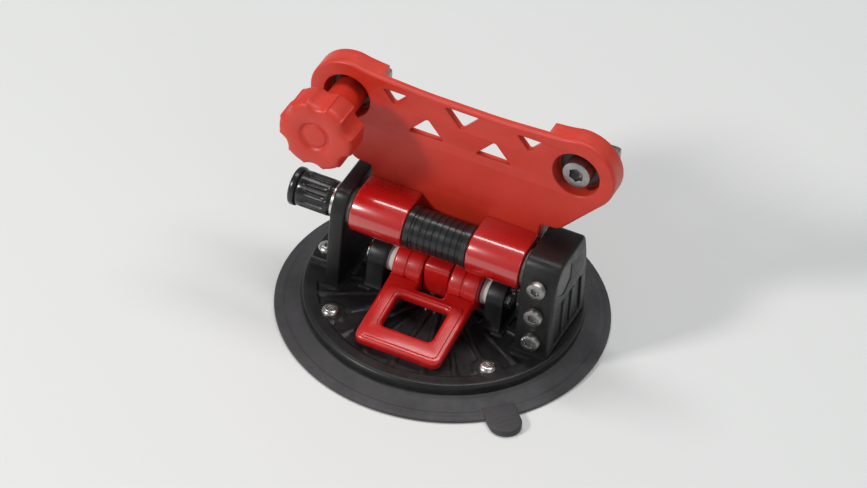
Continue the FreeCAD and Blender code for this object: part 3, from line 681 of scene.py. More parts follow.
@dataclass
class BasePlate(SubAssembly):
    """The black plate over the pad, its axle lugs and the screws that hold it down."""

    radius: float = 63.0
    top: float = 10.5
    under: float = 5.5
    pocket_radius: float = 27.0
    pocket_top: float = 8.0
    bush_radius: float = 6.5
    field_depth: float = 0.9
    field_inner: float = 15.0
    field_outer: float = 56.5
    boss_radius: float = 6.4
    rib_pitch: float = 15.0
    rib_half: float = 0.8
    lug_radius: float = 8.5
    lugs: tuple[Pair, ...] = ((24.5, 33.0), (-33.0, -24.5))
    foot_top: float = 4.0
    footings: tuple[tuple[float, ...], ...] = (
        (-34.5, -23.0, -14.5, 6.5), (23.0, 34.5, -14.5, 6.5),
        (-64.0, -40.5, -22.0, 22.0), (40.5, 64.0, -22.0, 22.0))
    screws: tuple[Pair, ...] = ((38.0, -37.0), (-38.0, -37.0), (38.0, 40.0), (-38.0, 40.0))
    foot_screws: tuple[Pair, ...] = ((-56.0, -4.0), (-54.5, 12.0))
    segments: int = 360

    def lowered(self, x: np.ndarray, y: np.ndarray) -> np.ndarray:
        """How far the top is sunk: a field between two radii, less its ribs, bosses and footings.

        Args:
            x: First coordinate of each point.
            y: Second coordinate of each point.

        Returns:
            Depths under the plate's top.
        """
        r = np.hypot(x, y)
        soft = 0.8
        share = np.clip((r - self.field_inner) / soft, 0, 1) * np.clip((self.field_outer - r) / soft, 0, 1)
        for sx, sy in self.screws:
            share = share * np.clip((np.hypot(x - sx, y - sy) - self.boss_radius) / soft, 0, 1)
        for x0, x1, y0, y1 in self.footings:
            off = np.maximum(np.maximum(x0 - x, x - x1), np.maximum(y0 - y, y - y1))
            share = share * np.clip(off / soft, 0, 1)
        angle = np.degrees(np.arctan2(y, x))
        nearest = np.abs(np.mod(angle + self.rib_pitch / 2, self.rib_pitch) - self.rib_pitch / 2)
        across = np.radians(nearest) * r
        share = share * np.clip((across - self.rib_half) / soft, 0, 1)
        return self.field_depth * share

    def disc(self, shell: Shell) -> None:
        """The round plate: a turned ring whose top rows sink by `lowered`."""
        field_rows = np.linspace(self.field_inner - 0.5, self.field_outer + 0.5, 84)
        top_rows = np.concatenate([[self.bush_radius, 10.0, 13.0], field_rows, [58.5, 60.2]])
        side = [(self.radius - 1.6, self.top), (self.radius - 1.1, self.top - 0.12),
                (self.radius - 0.45, self.top - 0.6), (self.radius - 0.1, self.top - 1.2),
                (self.radius, self.top - 1.9), (self.radius, self.under + 0.4),
                (self.radius - 0.4, self.under), (self.pocket_radius, self.under),
                (self.pocket_radius, self.pocket_top), (self.bush_radius, self.pocket_top)]
        profile = np.concatenate([np.stack([top_rows, np.full(len(top_rows), self.top)], 1), side])
        profile = np.concatenate([profile, profile[:1]])
        a = around(self.segments)
        x = profile[:, :1] * np.cos(a)
        y = profile[:, :1] * np.sin(a)
        z = profile[:, 1:] * np.ones((1, self.segments))
        rows = len(top_rows)
        z[:rows] -= self.lowered(x[:rows], y[:rows])
        shell.grid(np.stack([x, y, z], -1))

    def lug(self, shell: Shell, x0: float, x1: float) -> None:
        """An upright ear with a round top about the axle."""
        _, y, z = middle("lever_axle")
        half = self.lug_radius
        outline = np.concatenate([
            np.array([(y - half - 1.6, self.top - 0.5), (y + half + 1.6, self.top - 0.5),
                      (y + half + 0.3, self.top + 1.6)]),
            arc(y, z, half, 0, 180, 5), np.array([(y - half - 0.3, self.top + 1.6)])])
        shell.slab(along_x(0, 0, 0), outline, [circle(y, z, 3.0, 10)], x0, x1, 0.7, 0.7)

    def make(self) -> None:
        """Builds the plate with its lugs, and the four plate screws and two foot screws."""
        shell = Shell()
        self.disc(shell)
        for x0, x1 in self.lugs:
            self.lug(shell, x0, x1)
        self.place(shell.build("base_plate_moulding"), Body.CUP, BLACK, "base_plate")
        for node, places, seat in (("plate_screws", self.screws, self.top),
                                   ("foot_screws", self.foot_screws, self.top + self.foot_top)):
            shell = Shell()
            for x, y in places:
                shell.screw(along_z(x, y, seat), button_head(4.0, 2.4, 1.25, 2.0, 7.0))
            self.place(shell.build(node.replace("_screws", "_button_screws")), Body.CUP, STEEL, node)


@dataclass
class Cheeks(SubAssembly):
    """The two uprights that carry the hinge barrel, with the screws in the thick one."""

    outline: tuple[Triple, ...] = ((-20.0, 10.4, 0.5), (-18.6, 50.0, 3.0), (-14.0, 59.0, 3.5),
                                   (13.0, 59.0, 3.5), (17.0, 46.0, 4.0), (20.0, 10.4, 0.5))
    inner: float = 42.6
    thick: float = 16.4
    thin: float = 7.0
    screw_x: float = 50.8
    screw_z: tuple[float, ...] = (19.0, 33.0)
    lock_z: float = 48.0
    bars: Pair = (-5.0, 4.0)
    panel_depth: float = 1.0
    pocket_flat: float = 7.1
    pocket_depth: float = 4.8
    foot_reach: float = 61.2
    foot_y: Pair = (-12.0, 18.0)

    def front(self, z: float) -> float:
        """Y of the front face at height z, on the straight run between its first two corners."""
        (ya, za, _), (yb, zb, _) = self.outline[:2]
        return ya + (yb - ya) * (z - za) / (zb - za) - 0.3

    def thick_cheek(self) -> None:
        """A slab with a sunk, barred panel on its outer side and a hexagon pocket for the shaft's head."""
        shell = Shell()
        x1 = self.inner + self.thick
        side = oriented(rounded(self.outline, 2.0, steps=4), True)
        axes = along_x(0, 0, 0)
        rows = rim(self.inner, x1, 0.8, 1.6, 5)
        shell.wall(axes, side, rows)
        shell.cap(axes, [inset(side, 0.8)], self.inner)
        _, y, z = middle("hinge_shaft")
        panel = rounded([(-14.6, 14.5), (14.4, 14.5), (12.6, 36.0), (-14.0, 36.0)], 2.6, steps=4)
        panel = oriented(panel, False)
        a = around(48)
        flats = hex_factor(a)[:, None] * self.pocket_flat
        pocket = oriented(np.array([y, z]) + flats * np.stack([np.cos(a), np.sin(a)], 1), False)
        for loop, depth in ((panel, self.panel_depth), (pocket, self.pocket_depth)):
            shell.wall(axes, loop, rim(x1 - depth, x1, 0.0, 0.4, 3))
            shell.cap(axes, [loop], x1 - depth)
        shell.cap(axes, [inset(side, 1.6), inset(panel, 0.4), inset(pocket, 0.4)], x1)
        for bar_y in self.bars:
            bar = rounded(oblong(bar_y - 1.0, bar_y + 1.0, 15.5, 35.0), 0.6)
            shell.slab(axes, bar, [], x1 - 1.3, x1 - 0.15, 0.0, 0.3)
        self.place(shell.build("thick_cheek"), Body.CUP, BLACK, "right_cheek")

    def thin_cheek(self) -> None:
        """A slab with an outward foot that follows the plate's edge, and a triangular rib."""
        shell = Shell()
        x0 = -self.inner - self.thin
        side = rounded(self.outline, 2.0, steps=4)
        shell.slab(along_x(0, 0, 0), side, [circle(-8.0, 48.0, 4.3, 8)], x0, -self.inner, 1.4, 0.8)
        reach = self.foot_reach
        front, back = self.foot_y
        turn = np.degrees(np.arcsin(np.array([front, back]) / reach))
        edge = arc(0, 0, reach, 180 - turn[1], 180 - turn[0], 2)
        foot = np.concatenate([np.array([(x0 + 1.0, front), (x0 + 1.0, back)]), edge])
        shell.slab(along_z(0, 0, 0), foot, [], 10.4, 14.5, 0.0, 1.0)
        rib = rounded([(x0 - 7.0, 14.0), (x0 + 0.5, 14.0), (x0 + 0.5, 37.0), (x0 - 0.5, 36.0)], 0.4)
        shell.slab(along_y(0, 0, 0), rib, [], 2.0, 6.0, 0.6, 0.6)
        self.place(shell.build("thin_cheek"), Body.CUP, BLACK, "left_cheek")

    def screws(self) -> None:
        """Cap screws in the front face of the thick cheek."""
        for node, heights in (("cheek_front_screws", self.screw_z), ("shaft_lock_screw", (self.lock_z,))):
            shell = Shell()
            for z in heights:
                shell.screw(against_y(self.screw_x, self.front(z), z), cap_head(4.2, 3.0, 1.9, 2.5, 7.0))
            self.place(shell.build(node.replace("screw", "cap_screw")), Body.CUP, DARK_STEEL, node)

    def make(self) -> None:
        """Builds both cheeks and the screws."""
        self.thick_cheek()
        self.thin_cheek()
        self.screws()


@dataclass
class Lever(SubAssembly):
    """The windowed vacuum lever, the yoke round its eccentric, and its axle."""

    hub: float = 10.0
    half: float = 20.5
    tip: Pair = (-51.0, 13.2)
    thickness: float = 5.6
    window_half: float = 12.2
    window_from: float = 18.6
    window_to: float = 37.4
    gap_half: float = 6.5
    bore: float = 3.06
    sweep: float = 13.0
    frame_border: float = 1.6
    yoke_half: float = 6.0
    yoke_wall: float = 2.5
    axle_radius: float = 3.0
    spacers: Pair = (-24.5, 20.9)
    spacer_width: float = 3.6

    def blade(self, shell: Shell, y: float, z: float) -> None:
        """The flat frame in the lever's own plane: second axis from the axle to the tip, third up.

        A gap at its root clears the yoke, and a raised rim runs round the window.
        """
        along = np.array([0.0, self.tip[0] - y, self.tip[1] - z])
        reach = float(np.linalg.norm(along))
        along /= reach
        up = np.array([0.0, along[2], -along[1]])
        axes = Placing((0.0, y, z), (1, 0, 0), tuple(along), tuple(up))
        start = self.sweep + 0.4
        gap, root = self.gap_half, start - 4.5
        outline = rounded([(-self.half, root, 0.1), (-gap, root, 0.1), (-gap, start, 1.2), (gap, start, 1.2),
                           (gap, root, 0.1), (self.half, root, 0.1), (self.half, reach, 4.5),
                           (-self.half, reach, 4.5)], 4.0)
        w0, w1 = self.window_from, self.window_to
        window = rounded(oblong(-self.window_half, self.window_half, w0, w1), 2.6)
        half = self.thickness / 2
        shell.slab(axes, outline, [window], -half, half - 0.5, 1.3, 1.6)
        edge = self.half - 2.3
        border = self.frame_border
        raised = rounded(oblong(-edge, edge, start + 1.8, reach - 2.3), 2.6)
        inner = rounded(oblong(-self.window_half - border, self.window_half + border,
                               w0 - border, w1 + border), 3.2)
        shell.slab(axes, raised, [inner], half - 1.2, half, 0.0, 0.45)

    def drum(self, shell: Shell, x0: float, x1: float, y: float, z: float) -> None:
        """A hub drum: a thick tube with softly rounded ends and a shallow groove round it."""
        outer = self.hub
        mid = 0.5 * (x0 + x1)
        ring = rounded([(self.bore, x0), (outer, x0, 1.6), (outer, mid - 0.9, 0.1),
                        (outer - 0.5, mid - 0.5, 0.1), (outer - 0.5, mid + 0.5, 0.1),
                        (outer, mid + 0.9, 0.1), (outer, x1, 1.6), (self.bore, x1)], 0.5)
        shell.turned(along_x(0, y, z), ring, 96, tube=True)

    def make(self) -> None:
        """Builds the lever, the yoke, the axle and its spacers."""
        _, y, z = middle("lever_axle")
        shell = Shell()
        self.blade(shell, y, z)
        self.drum(shell, self.gap_half, self.half, y, z)
        self.drum(shell, -self.half, -self.gap_half, y, z)
        self.place(shell.build("lever_frame"), Body.LEVER, RED_GLOSS, "vacuum_lever")
        self.yoke()
        self.axle(y, z)

    def yoke(self) -> None:
        """The rounded frame round the eccentric, with its slot."""
        (_, y0, z0), (_, y1, z1) = corners("lift_yoke")
        outline = rounded(oblong(y0, y1, z0, z1), 3.6)
        slot = rounded(oblong(y0 + 2.0, y1 - 2.0, z0 + self.yoke_wall, z1 - self.yoke_wall), 1.0)
        shell = Shell()
        shell.slab(along_x(0, 0, 0), outline, [slot], -self.yoke_half, self.yoke_half, 0.9, 0.9)
        self.place(shell.build("lift_yoke_frame"), Body.LIFT, RED_GLOSS, "lift_yoke")

    def axle(self, y: float, z: float) -> None:
        """The pin, with a flange by the left lug and a groove for its clip, and the two spacers."""
        low, high = corners("lever_axle")
        start, stop, r = low[0], high[0], self.axle_radius
        profile = np.array([
            (0.0, start), (2.4, start + 0.1), (r, start + 0.5), (r, start + 0.8), (r, -35.0), (4.3, -35.0),
            (4.6, -34.7), (4.6, -33.1), (4.5, -33.0), (r, -33.0), (r, 33.0), (r - 0.7, 33.0), (r - 0.7, 34.0),
            (r, 34.0), (r, stop - 0.4), (r - 0.4, stop), (0.0, stop)])
        shell = Shell()
        shell.turned(along_x(0, y, z), profile, 64)
        self.place(shell.build("axle_pin"), Body.CUP, STEEL, "lever_axle")
        shell = Shell()
        for x0 in self.spacers:
            ring = rounded(oblong(r, 6.0, x0, x0 + self.spacer_width), 0.3)
            shell.turned(along_x(0, y, z), ring, 64, tube=True)
        self.place(shell.build("axle_spacer_rings"), Body.CUP, BEARING, "axle_spacers")


@dataclass
class HingeBarrel(SubAssembly):
    """The sleeves, the black band between them, and the long tilt nut."""

    radius: float = 10.5
    shaft: float = 4.0
    bush: float = 5.6
    sleeve_from: float = 15.3
    sleeve_to: float = 40.8
    face: float = 3.6
    flutes: int = 12

    def sleeve(self, side: int, y: float, z: float) -> None:
        """A sleeve whose side view is a circle that runs tangent into a block against the plate.

        Args:
            side: 1 for the right sleeve, -1 for the left.
            y: Barrel axis, second coordinate.
            z: Barrel axis, third coordinate.
        """
        top = z + 10.4
        base = z - 4.0
        low_turn = math.degrees(math.asin((base - z) / self.radius))
        outline = np.concatenate([arc(y, z, self.radius, 90, 360 + low_turn, 4),
                                  rounded([(y + 9.0, base), (self.face, base, 0.5), (self.face, top, 0.9),
                                           (y + 1.0, top + 0.1)], 0.5, closed=False, steps=3)])
        shell = Shell()
        ends = sorted((side * self.sleeve_from, side * self.sleeve_to))
        shell.slab(along_x(0, 0, 0), outline, [circle(y, z, self.bush, 6)], ends[0], ends[1], 1.1, 1.1)
        name = "right" if side > 0 else "left"
        self.place(shell.build(f"{name}_sleeve", 35), Body.BRACKET, RED_SLEEVE, f"{name}_hinge_sleeve")

    def band(self, y: float, z: float) -> None:
        """The spacer tube: two flanges, a waist, and fine rings turned into the waist."""
        flange = self.radius - 0.5
        waist = self.radius - 1.0
        rows = [(self.shaft, -15.0), (flange - 0.4, -15.0), (flange, -14.6), (flange, -12.3), (waist, -11.9)]
        for x in np.arange(-10.5, 11.0, 3.0):
            rows += [(waist, x - 0.4), (waist - 0.3, x - 0.15), (waist - 0.3, x + 0.15), (waist, x + 0.4)]
        rows += [(waist, 11.9), (flange, 12.3), (flange, 14.6), (flange - 0.4, 15.0), (self.shaft, 15.0)]
        shell = Shell()
        shell.turned(along_x(0, y, z), np.array(rows), 96, tube=True)
        self.place(shell.build("centre_band_tube"), Body.CUP, BLACK_SATIN, "centre_band")

    def tilt_nut(self) -> None:
        """The hand nut: radius R - d w(a) m(x), where w is a row of round flutes and m fades at the ends."""
        low, high = corners("tilt_nut")
        _, y, z = middle("tilt_nut")
        r = 8.2
        x = np.array([0.0, 0.0, 0.35, 1.0, 2.4, 3.4, 4.4, 6.0, 8.5, 11.0, 12.6, 13.4, 14.2, 15.2, 16.0])
        x = low[0] + x / 16.0 * (high[0] - low[0])
        radius = np.array([6.0, r - 0.7, r - 0.2, r, r, r, r, r, r, r, r, r, r, r - 0.2, r - 0.8])
        fade = np.array([0, 0, 0, 0, 0, 0.6, 1, 1, 1, 1, 1, 0.6, 0, 0, 0.0])
        a = around(240)
        flute = np.clip(1 - (np.abs(np.mod(a * self.flutes / (2 * np.pi) + 0.5, 1) - 0.5) / 0.3) ** 2, 0, 1)
        surface = radius[:, None] - 0.9 * fade[:, None] * flute[None, :]
        points = np.stack([surface * np.cos(a), surface * np.sin(a), x[:, None] * np.ones_like(a)], -1)
        inner = np.stack([6.0 * np.cos(a), 6.0 * np.sin(a), np.zeros_like(a)], -1)
        closing = [inner + np.array([0, 0, x[-1]]), inner + np.array([0, 0, x[0]])]
        shell = Shell()
        shell.grid(along_x(0, y, z)(np.concatenate([points, closing])))
        self.place(shell.build("tilt_nut_grip"), Body.TILT_NUT, BLACK_SATIN, "tilt_nut")
        cap_low, cap_high = corners("tilt_nut_cap")
        x0, x1 = cap_low[0], cap_high[0]
        profile = np.array([(0.0, x0 + 0.8), (4.6, x0 + 0.8), (5.0, x0 + 0.7), (5.4, x0 + 0.1), (5.8, x0),
                            (8.1, x0), (8.55, x0 + 0.25), (8.8, x0 + 0.8), (8.8, x1 - 0.5), (8.6, x1 - 0.1),
                            (8.3, x1), (0.0, x1)])
        shell = Shell()
        shell.turned(along_x(0, y, z), profile, 96)
        self.place(shell.build("tilt_nut_end_cap"), Body.TILT_NUT, BLACK_SATIN, "tilt_nut_cap")

    def make(self) -> None:
        """Builds the sleeves, the band and the tilt nut."""
        _, y, z = middle("centre_band")
        self.sleeve(1, y, z)
        self.sleeve(-1, y, z)
        self.band(y, z)
        self.tilt_nut()


@dataclass
class RailBracket(SubAssembly):
    """The red truss plate with a lobe at each top corner, and the back frame that meets the rail."""

    lobe: float = 18.0
    recess: float = 11.0
    bore: float = 4.1
    front: float = 3.6
    truss_back: float = 6.8
    panel: float = 9.6
    floor: float = 11.1
    rail: float = 14.0
    top: float = 112.5
    pitch: float = 16.0
    window: Pair = (17.0, 9.6)
    rows: Pair = (94.5, 104.5)
    end_scale: float = 0.72
    bay_floor: float = 82.0
    bay_half: float = 39.5
    ribs: tuple[float, ...] = (-28.0, 0.0, 28.0)
    rib_half: float = 1.2

    def lobe_centre(self) -> Pair:
        """Centre (x, z) of the right lobe, from the screw in it."""
        x, _, z = middle("rail_screw")
        return float(x), float(z)

    def silhouette(self) -> np.ndarray:
        """Front view: straight runs below, an arc round each lobe, and a shallow dip between them."""
        lx, lz = self.lobe_centre()
        low = rounded([(0.0, 44.0), (40.0, 44.0, 2.2), (40.8, 63.5, 2.2), (49.0, 63.5, 3.0), (66.2, 83.1)],
                      2.0, closed=False, steps=4)[1:-1]
        round_lobe = arc(lx, lz, self.lobe, -46, 97, 4)
        crest = rounded([(lx, lz + self.lobe), (44.0, self.top + 0.8), (18.0, self.top - 0.8),
                         (0.0, self.top - 0.8)], 6.0, closed=False, steps=4)[1:-1]
        right = np.concatenate([low, round_lobe, crest])
        return np.concatenate([right, right[::-1] * np.array([-1, 1])])

    def truss(self) -> list[np.ndarray]:
        """Five triangles in two rows: the upper ones point down and the lower ones up."""
        width, height = self.window
        holes = []
        for i in range(-2, 3):
            x = i * self.pitch
            upper = i % 2 == 0
            scale = self.end_scale if abs(i) == 2 else 1.0
            rise = (height / 2 if upper else -height / 2) * scale
            z = self.rows[1] if upper else self.rows[0]
            reach = width / 2 * scale
            holes.append(rounded([(x - reach, z + rise), (x + reach, z + rise), (x, z - rise)], 1.6))
        return holes

    def back_frame(self) -> np.ndarray:
        """Outline of the frame behind the panel: the silhouette less a bay that is open at the top."""
        outline = oriented(self.silhouette(), True)
        bay_floor, bay_half, bay_top = self.bay_floor, self.bay_half, self.top + 0.4
        keep = (np.abs(outline[:, 0]) > bay_half + 0.2) | (outline[:, 1] < bay_floor)
        start = int(np.argmax(~keep & np.roll(keep, 1)))
        kept = np.roll(outline, -start, axis=0)[np.roll(keep, -start)]
        bay = rounded([(bay_half, bay_top + 2), (bay_half, bay_floor), (-bay_half, bay_floor),
                       (-bay_half, bay_top + 2)], 2.5, closed=False, steps=4)[1:-1]
        return np.concatenate([np.array([(bay_half, bay_top)]), bay, np.array([(-bay_half, bay_top)]), kept])

    def make(self) -> None:
        """Builds the plate as one mesh: the thin truss panel, the frame behind it and its ribs.

        The slabs of the frame overlap by `lap`, which is too deep for Shell.build to merge their rims.
        """
        lx, lz = self.lobe_centre()
        shell = Shell()
        axes = along_y(0, 0, 0)
        outline = oriented(self.silhouette(), True)
        windows = [oriented(hole, False) for hole in self.truss()]
        recesses = [oriented(circle(x, lz, self.recess, 4), False) for x in (-lx, lx)]
        edge, window_edge, lap = 1.3, 0.6, 0.02
        shell.wall(axes, outline, rim(self.front, self.truss_back, edge, 0.0, 5))
        for loop in windows + recesses:
            shell.wall(axes, loop, rim(self.front, self.truss_back, window_edge, 0.0, 3))
        holes = windows + recesses
        shell.cap(axes, [inset(outline, edge)] + [inset(loop, window_edge) for loop in holes], self.front)
        shell.cap(axes, [outline] + holes, self.truss_back)
        lower = rounded([(-36.0, 50.0), (36.0, 50.0), (37.0, 67.0), (47.0, 67.0), (52.0, 75.5), (46.0, 78.5),
                         (-46.0, 78.5), (-52.0, 75.5), (-47.0, 67.0), (-37.0, 67.0)], 1.5, steps=3)
        frame_outline = oriented(self.back_frame(), True)
        shell.slab(axes, frame_outline, recesses, self.truss_back - lap, self.panel, 0.0, 0.0)
        shell.slab(axes, frame_outline, [lower] + recesses, self.panel - lap, self.floor, 0.0, 0.0)
        shell.slab(axes, frame_outline, [lower] + [circle(x, lz, self.bore, 8) for x in (-lx, lx)],
                   self.floor - lap, self.rail, 0.0, 0.5)
        for x in self.ribs:
            rib = rounded(oblong(x - self.rib_half, x + self.rib_half, 50.5, 79.0), 0.3)
            shell.slab(axes, rib, [], self.panel - 0.3, self.rail - 2.2, 0.0, 0.4)
        self.place(shell.build("truss_bracket", 35), Body.BRACKET, RED, "bracket_plate")
        self.screws()

    def screws(self) -> None:
        """The four small screws behind the plate; the outer pair follows the CAD node's box."""
        shell = Shell()
        low, high = corners("sleeve_screws")
        outer = high[0] - 3.2
        profile = button_head(3.2, 2.1, 1.0, 1.7, 10.5)
        for x in (-outer, -21.0, 21.0, outer):
            shell.screw(along_y(x, self.panel, 0.5 * (low[2] + high[2])), profile, 36)
        self.place(shell.build("sleeve_button_screws"), Body.BRACKET, STEEL, "sleeve_screws")


@dataclass
class RailClamps(SubAssembly):
    """The star knob on the left, the cap screw on the right, and the nuts behind them."""

    knob: float = 18.0
    flute: float = 6.6
    flute_ring: float = 22.2
    lobes: int = 6
    head_from: float = -29.0
    head_to: float = -14.0
    stem: float = 7.5
    stud: float = 4.0
    pitch: float = 1.25
    stud_end: float = 24.0
    washer_radii: Pair = (4.2, 9.6)
    collar: float = 0.9
    collar_half: float = 3.9

    def star(self, angle: np.ndarray) -> np.ndarray:
        """Share of the full radius at each angle.

        Where a ray meets a flute's circle, of radius f on a ring of radius g, the edge is at
        g cos d - sqrt(f^2 - g^2 sin^2 d), with d the angle from the flute; elsewhere it is the full radius.
        """
        step = 2 * np.pi / self.lobes
        d = np.mod(angle, step) - step / 2
        inside = np.clip(self.flute ** 2 - (self.flute_ring * np.sin(d)) ** 2, 0, None)
        cut = self.flute_ring * np.cos(d) - np.sqrt(inside)
        cut = np.where(inside > 0, cut, self.knob)
        blend = 0.7
        return -blend * np.log(np.exp(-cut / blend) + np.exp(-self.knob / blend)) / self.knob

    def knob_head(self, x: float, z: float) -> None:
        """The star knob from its face to its stem; the third value is how far a row is a star."""
        y0, y1 = self.head_from, self.head_to
        rows = np.array([
            (0.0, y0 + 0.9, 0.0), (4.6, y0 + 0.9, 0.0), (5.2, y0 + 1.0, 0.0), (5.6, y0 + 1.5, 0.0),
            (6.2, y0 + 1.6, 0.0), (6.8, y0 + 1.1, 0.0), (7.4, y0 + 0.5, 0.1), (9.0, y0 + 0.1, 0.3),
            (12.5, y0, 0.7), (15.0, y0 + 0.1, 0.95), (16.6, y0 + 0.5, 1.0), (17.5, y0 + 1.3, 1.0),
            (17.9, y0 + 2.4, 1.0), (18.0, y0 + 4.0, 1.0), (18.0, y1 - 3.5, 1.0), (17.8, y1 - 1.6, 1.0),
            (17.1, y1 - 0.5, 1.0), (16.0, y1, 0.9), (12.6, y1 + 0.2, 0.3), (11.8, y1 + 0.7, 0.0),
            (9.2, y1 + 4.0, 0.0), (self.stem, y1 + 7.0, 0.0), (self.stem, 9.0, 0.0),
            (self.stem - 0.6, 9.6, 0.0), (self.stud - 0.4, 9.6, 0.0), (0.0, 9.6, 0.0)])
        shell = Shell()
        shell.turned(along_y(x, 0, z), rows, 240, shape=self.star(around(240)))
        self.place(shell.build("star_knob", 50), Body.KNOB, RED, "clamp_knob")

    def stud_end_thread(self, shell: Shell, x: float, z: float) -> None:
        """The stud from the recess floor to its free end, threaded over its last stretch."""
        shell.grid(along_y(x, 0, z)(thread(self.stud, self.pitch, 0.55, 12.6, self.stud_end, 40)))
        plain = np.array([(0.0, 8.0), (self.stud - 0.35, 8.0), (self.stud - 0.35, 13.6), (0.0, 13.6)])
        shell.turned(along_y(x, 0, z), plain, 40)

    def washer(self, x: float, z: float, name: str, node: str) -> None:
        """A flat washer with rounded edges on the recess floor."""
        low, high = corners(node)
        ring = rounded(oblong(*self.washer_radii, low[1], high[1]), 0.35)
        shell = Shell()
        shell.turned(along_y(x, 0, z), ring, 96, tube=True)
        self.place(shell.build(name), Body.BRACKET, BLACK_OXIDE, node)

    def nut(self, x: float, z: float, body: Body, node: str) -> None:
        """A slot nut: a slab with bevelled rims and a narrow collar towards the rail's slot."""
        low, high = corners(node)
        shell = Shell()
        wide = rounded(oblong(low[0], high[0], low[2], high[2]), 1.6)
        hole = circle(x, z, self.stud + 0.1, 10)
        shell.slab(along_y(0, 0, 0), wide, [hole], low[1] + self.collar, high[1], 0.5, 0.5)
        slim = rounded(oblong(low[0] + 0.6, high[0] - 0.6, z - self.collar_half, z + self.collar_half), 0.8)
        shell.slab(along_y(0, 0, 0), slim, [hole], low[1], low[1] + self.collar + 0.2, 0.3, 0.0)
        self.place(shell.build(f"{node}_block"), body, DARK_STEEL, node)

    def make(self) -> None:
        """Builds the knob and its stud, the screw, the washers and the nuts."""
        x, _, z = (float(v) for v in middle("rail_screw"))
        self.knob_head(-x, z)
        shell = Shell()
        self.stud_end_thread(shell, -x, z)
        self.place(shell.build("knob_threaded_stud"), Body.KNOB, STEEL, "knob_stud")
        seat = float(corners("rail_screw_washer")[0][1])
        shell = Shell()
        shell.screw(against_y(x, seat, z), cap_head(6.5, 6.0, 3.0, self.stud - 0.35, 4.0), 144)
        self.stud_end_thread(shell, x, z)
        # The dark steel on this screw paints the recess's shade onto it.
        self.place(shell.build("rail_cap_screw"), Body.BRACKET, DARK_STEEL, "rail_screw")
        self.washer(-x, z, "knob_flat_washer", "knob_washer")
        self.washer(x, z, "screw_flat_washer", "rail_screw_washer")
        self.nut(-x, z, Body.SLOT_NUT, "left_slot_nut")
        self.nut(x, z, Body.BRACKET, "right_slot_nut")


@dataclass
class CarriedOver(SubAssembly):
    """The CAD nodes that stay as they are and only get a finish."""

    finishes: dict[str, Finish] = field(default_factory=lambda: {
        "pad_retaining_ring": DARK_STEEL, "pad_insert": DARK_STEEL, "stud_guide_bush": BRASS,
        "lift_stud": STEEL, "lever_eccentric": DARK_STEEL, "axle_clip": STEEL, "hinge_shaft": BLACK_OXIDE,
        "sleeve_bushes": BEARING, "friction_washers": GREY_BEARING, "tilt_washer": STEEL,
        "tilt_nut_insert": BRASS})

    def make(self) -> None:
        """Dresses each node that nothing stands for."""
        for name, finish in self.finishes.items():
            finish.dress(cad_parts[name])
            LOG.info("%s: kept, %s", name, finish.name)


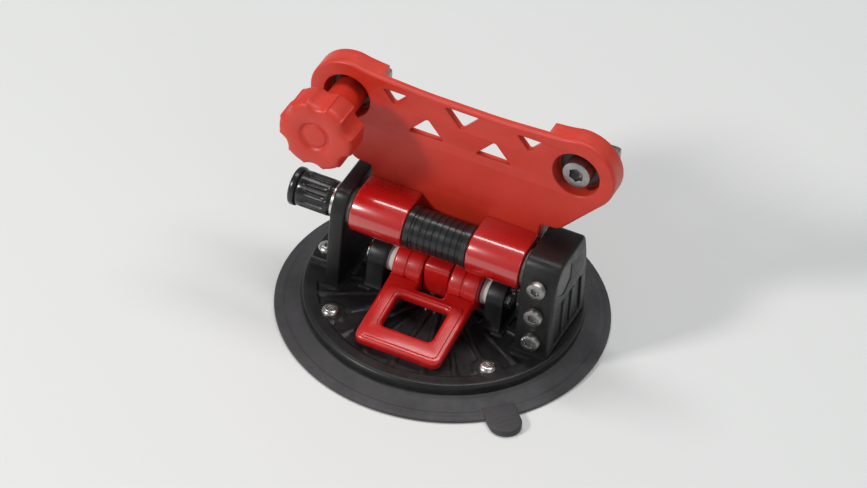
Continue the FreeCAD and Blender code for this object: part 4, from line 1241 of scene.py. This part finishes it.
# ---- studio ------------------------------------------------------------------------------------
@dataclass
class Studio:
    """Pale floor, soft lights and the camera."""

    azimuth: float = 22.1
    elevation: float = 40.9
    roll: float = 4.7
    distance: float = 1.995
    lens: float = 190.0
    aim: Triple = (-0.002, -0.012, 0.046)
    floor_half: float = 6.0
    sky: Triple = (0.86, 0.88, 0.90)
    sky_strength: float = 0.26

    def floor(self) -> None:
        """A wide pale floor at the height the pad rests on."""
        half = self.floor_half
        mesh = bpy.data.meshes.new("floor")
        mesh.from_pydata([(x, y, 0.0) for x, y in oblong(-half, half, -half, half)], [], [(0, 1, 2, 3)])
        floor = bpy.data.objects.new("floor", mesh)
        bpy.context.scene.collection.objects.link(floor)
        made = bpy.data.materials.new("pale_floor")
        made.use_nodes = True
        shader = made.node_tree.nodes["Principled BSDF"]
        shader.inputs["Base Color"].default_value = (0.78, 0.79, 0.78, 1.0)
        shader.inputs["Roughness"].default_value = 0.45
        mesh.materials.append(made)

    def light(self, name: str, place: Triple, size: Pair, power: float, tint: Triple) -> None:
        """A rectangular area light that faces the object's middle.

        Args:
            name: The light's name.
            place: Where it stands, in metres.
            size: Width and height, in metres.
            power: Watts.
            tint: Its colour.
        """
        data = bpy.data.lights.new(name, "AREA")
        data.shape = "RECTANGLE"
        data.size, data.size_y = size
        data.energy, data.color = power, tint
        lamp = bpy.data.objects.new(name, data)
        bpy.context.scene.collection.objects.link(lamp)
        lamp.location = place
        lamp.rotation_mode = "QUATERNION"
        lamp.rotation_quaternion = (Vector(self.aim) - Vector(place)).to_track_quat("-Z", "Y")

    def camera(self) -> None:
        """The camera, turned by `roll` about its own line of sight."""
        a, e = math.radians(self.azimuth), math.radians(self.elevation)
        back = Vector((math.sin(a) * math.cos(e), -math.cos(a) * math.cos(e), math.sin(e)))
        data = bpy.data.cameras.new("camera")
        data.lens = self.lens
        data.clip_start, data.clip_end = 0.01, 50.0
        view = bpy.data.objects.new("camera", data)
        bpy.context.scene.collection.objects.link(view)
        view.location = Vector(self.aim) + back * self.distance
        view.rotation_mode = "QUATERNION"
        turn = Quaternion((0.0, 0.0, 1.0), math.radians(self.roll))
        view.rotation_quaternion = (-back).to_track_quat("-Z", "Y") @ turn
        bpy.context.scene.camera = view

    def make(self) -> None:
        """Sets up floor, lights, surroundings and camera."""
        self.floor()
        self.light("key", (-0.95, -1.15, 1.0), (0.26, 0.26), 16.0, (1.0, 0.985, 0.96))
        self.light("strip", (self.aim[0], 0.32, 1.45), (1.8, 0.30), 13.0, (1.0, 1.0, 1.0))
        self.light("fill", (1.2, -0.9, 0.9), (1.0, 1.0), 2.5, (0.96, 0.98, 1.0))
        world = bpy.data.worlds.new("surroundings")
        world.use_nodes = True
        background = world.node_tree.nodes["Background"]
        background.inputs["Color"].default_value = (*self.sky, 1.0)
        background.inputs["Strength"].default_value = self.sky_strength
        bpy.context.scene.world = world
        bpy.context.scene.view_settings.view_transform = "Standard"
        self.camera()


def main() -> None:
    """Builds each sub-assembly in turn, then the studio."""
    logging.basicConfig(level=logging.INFO, format="%(name)s: %(message)s")
    for group in (SealingPad(), BasePlate(), Cheeks(), Lever(), HingeBarrel(), RailBracket(), RailClamps(),
                  CarriedOver()):
        group.make()
    Studio().make()


if __name__ == "__main__":
    main()
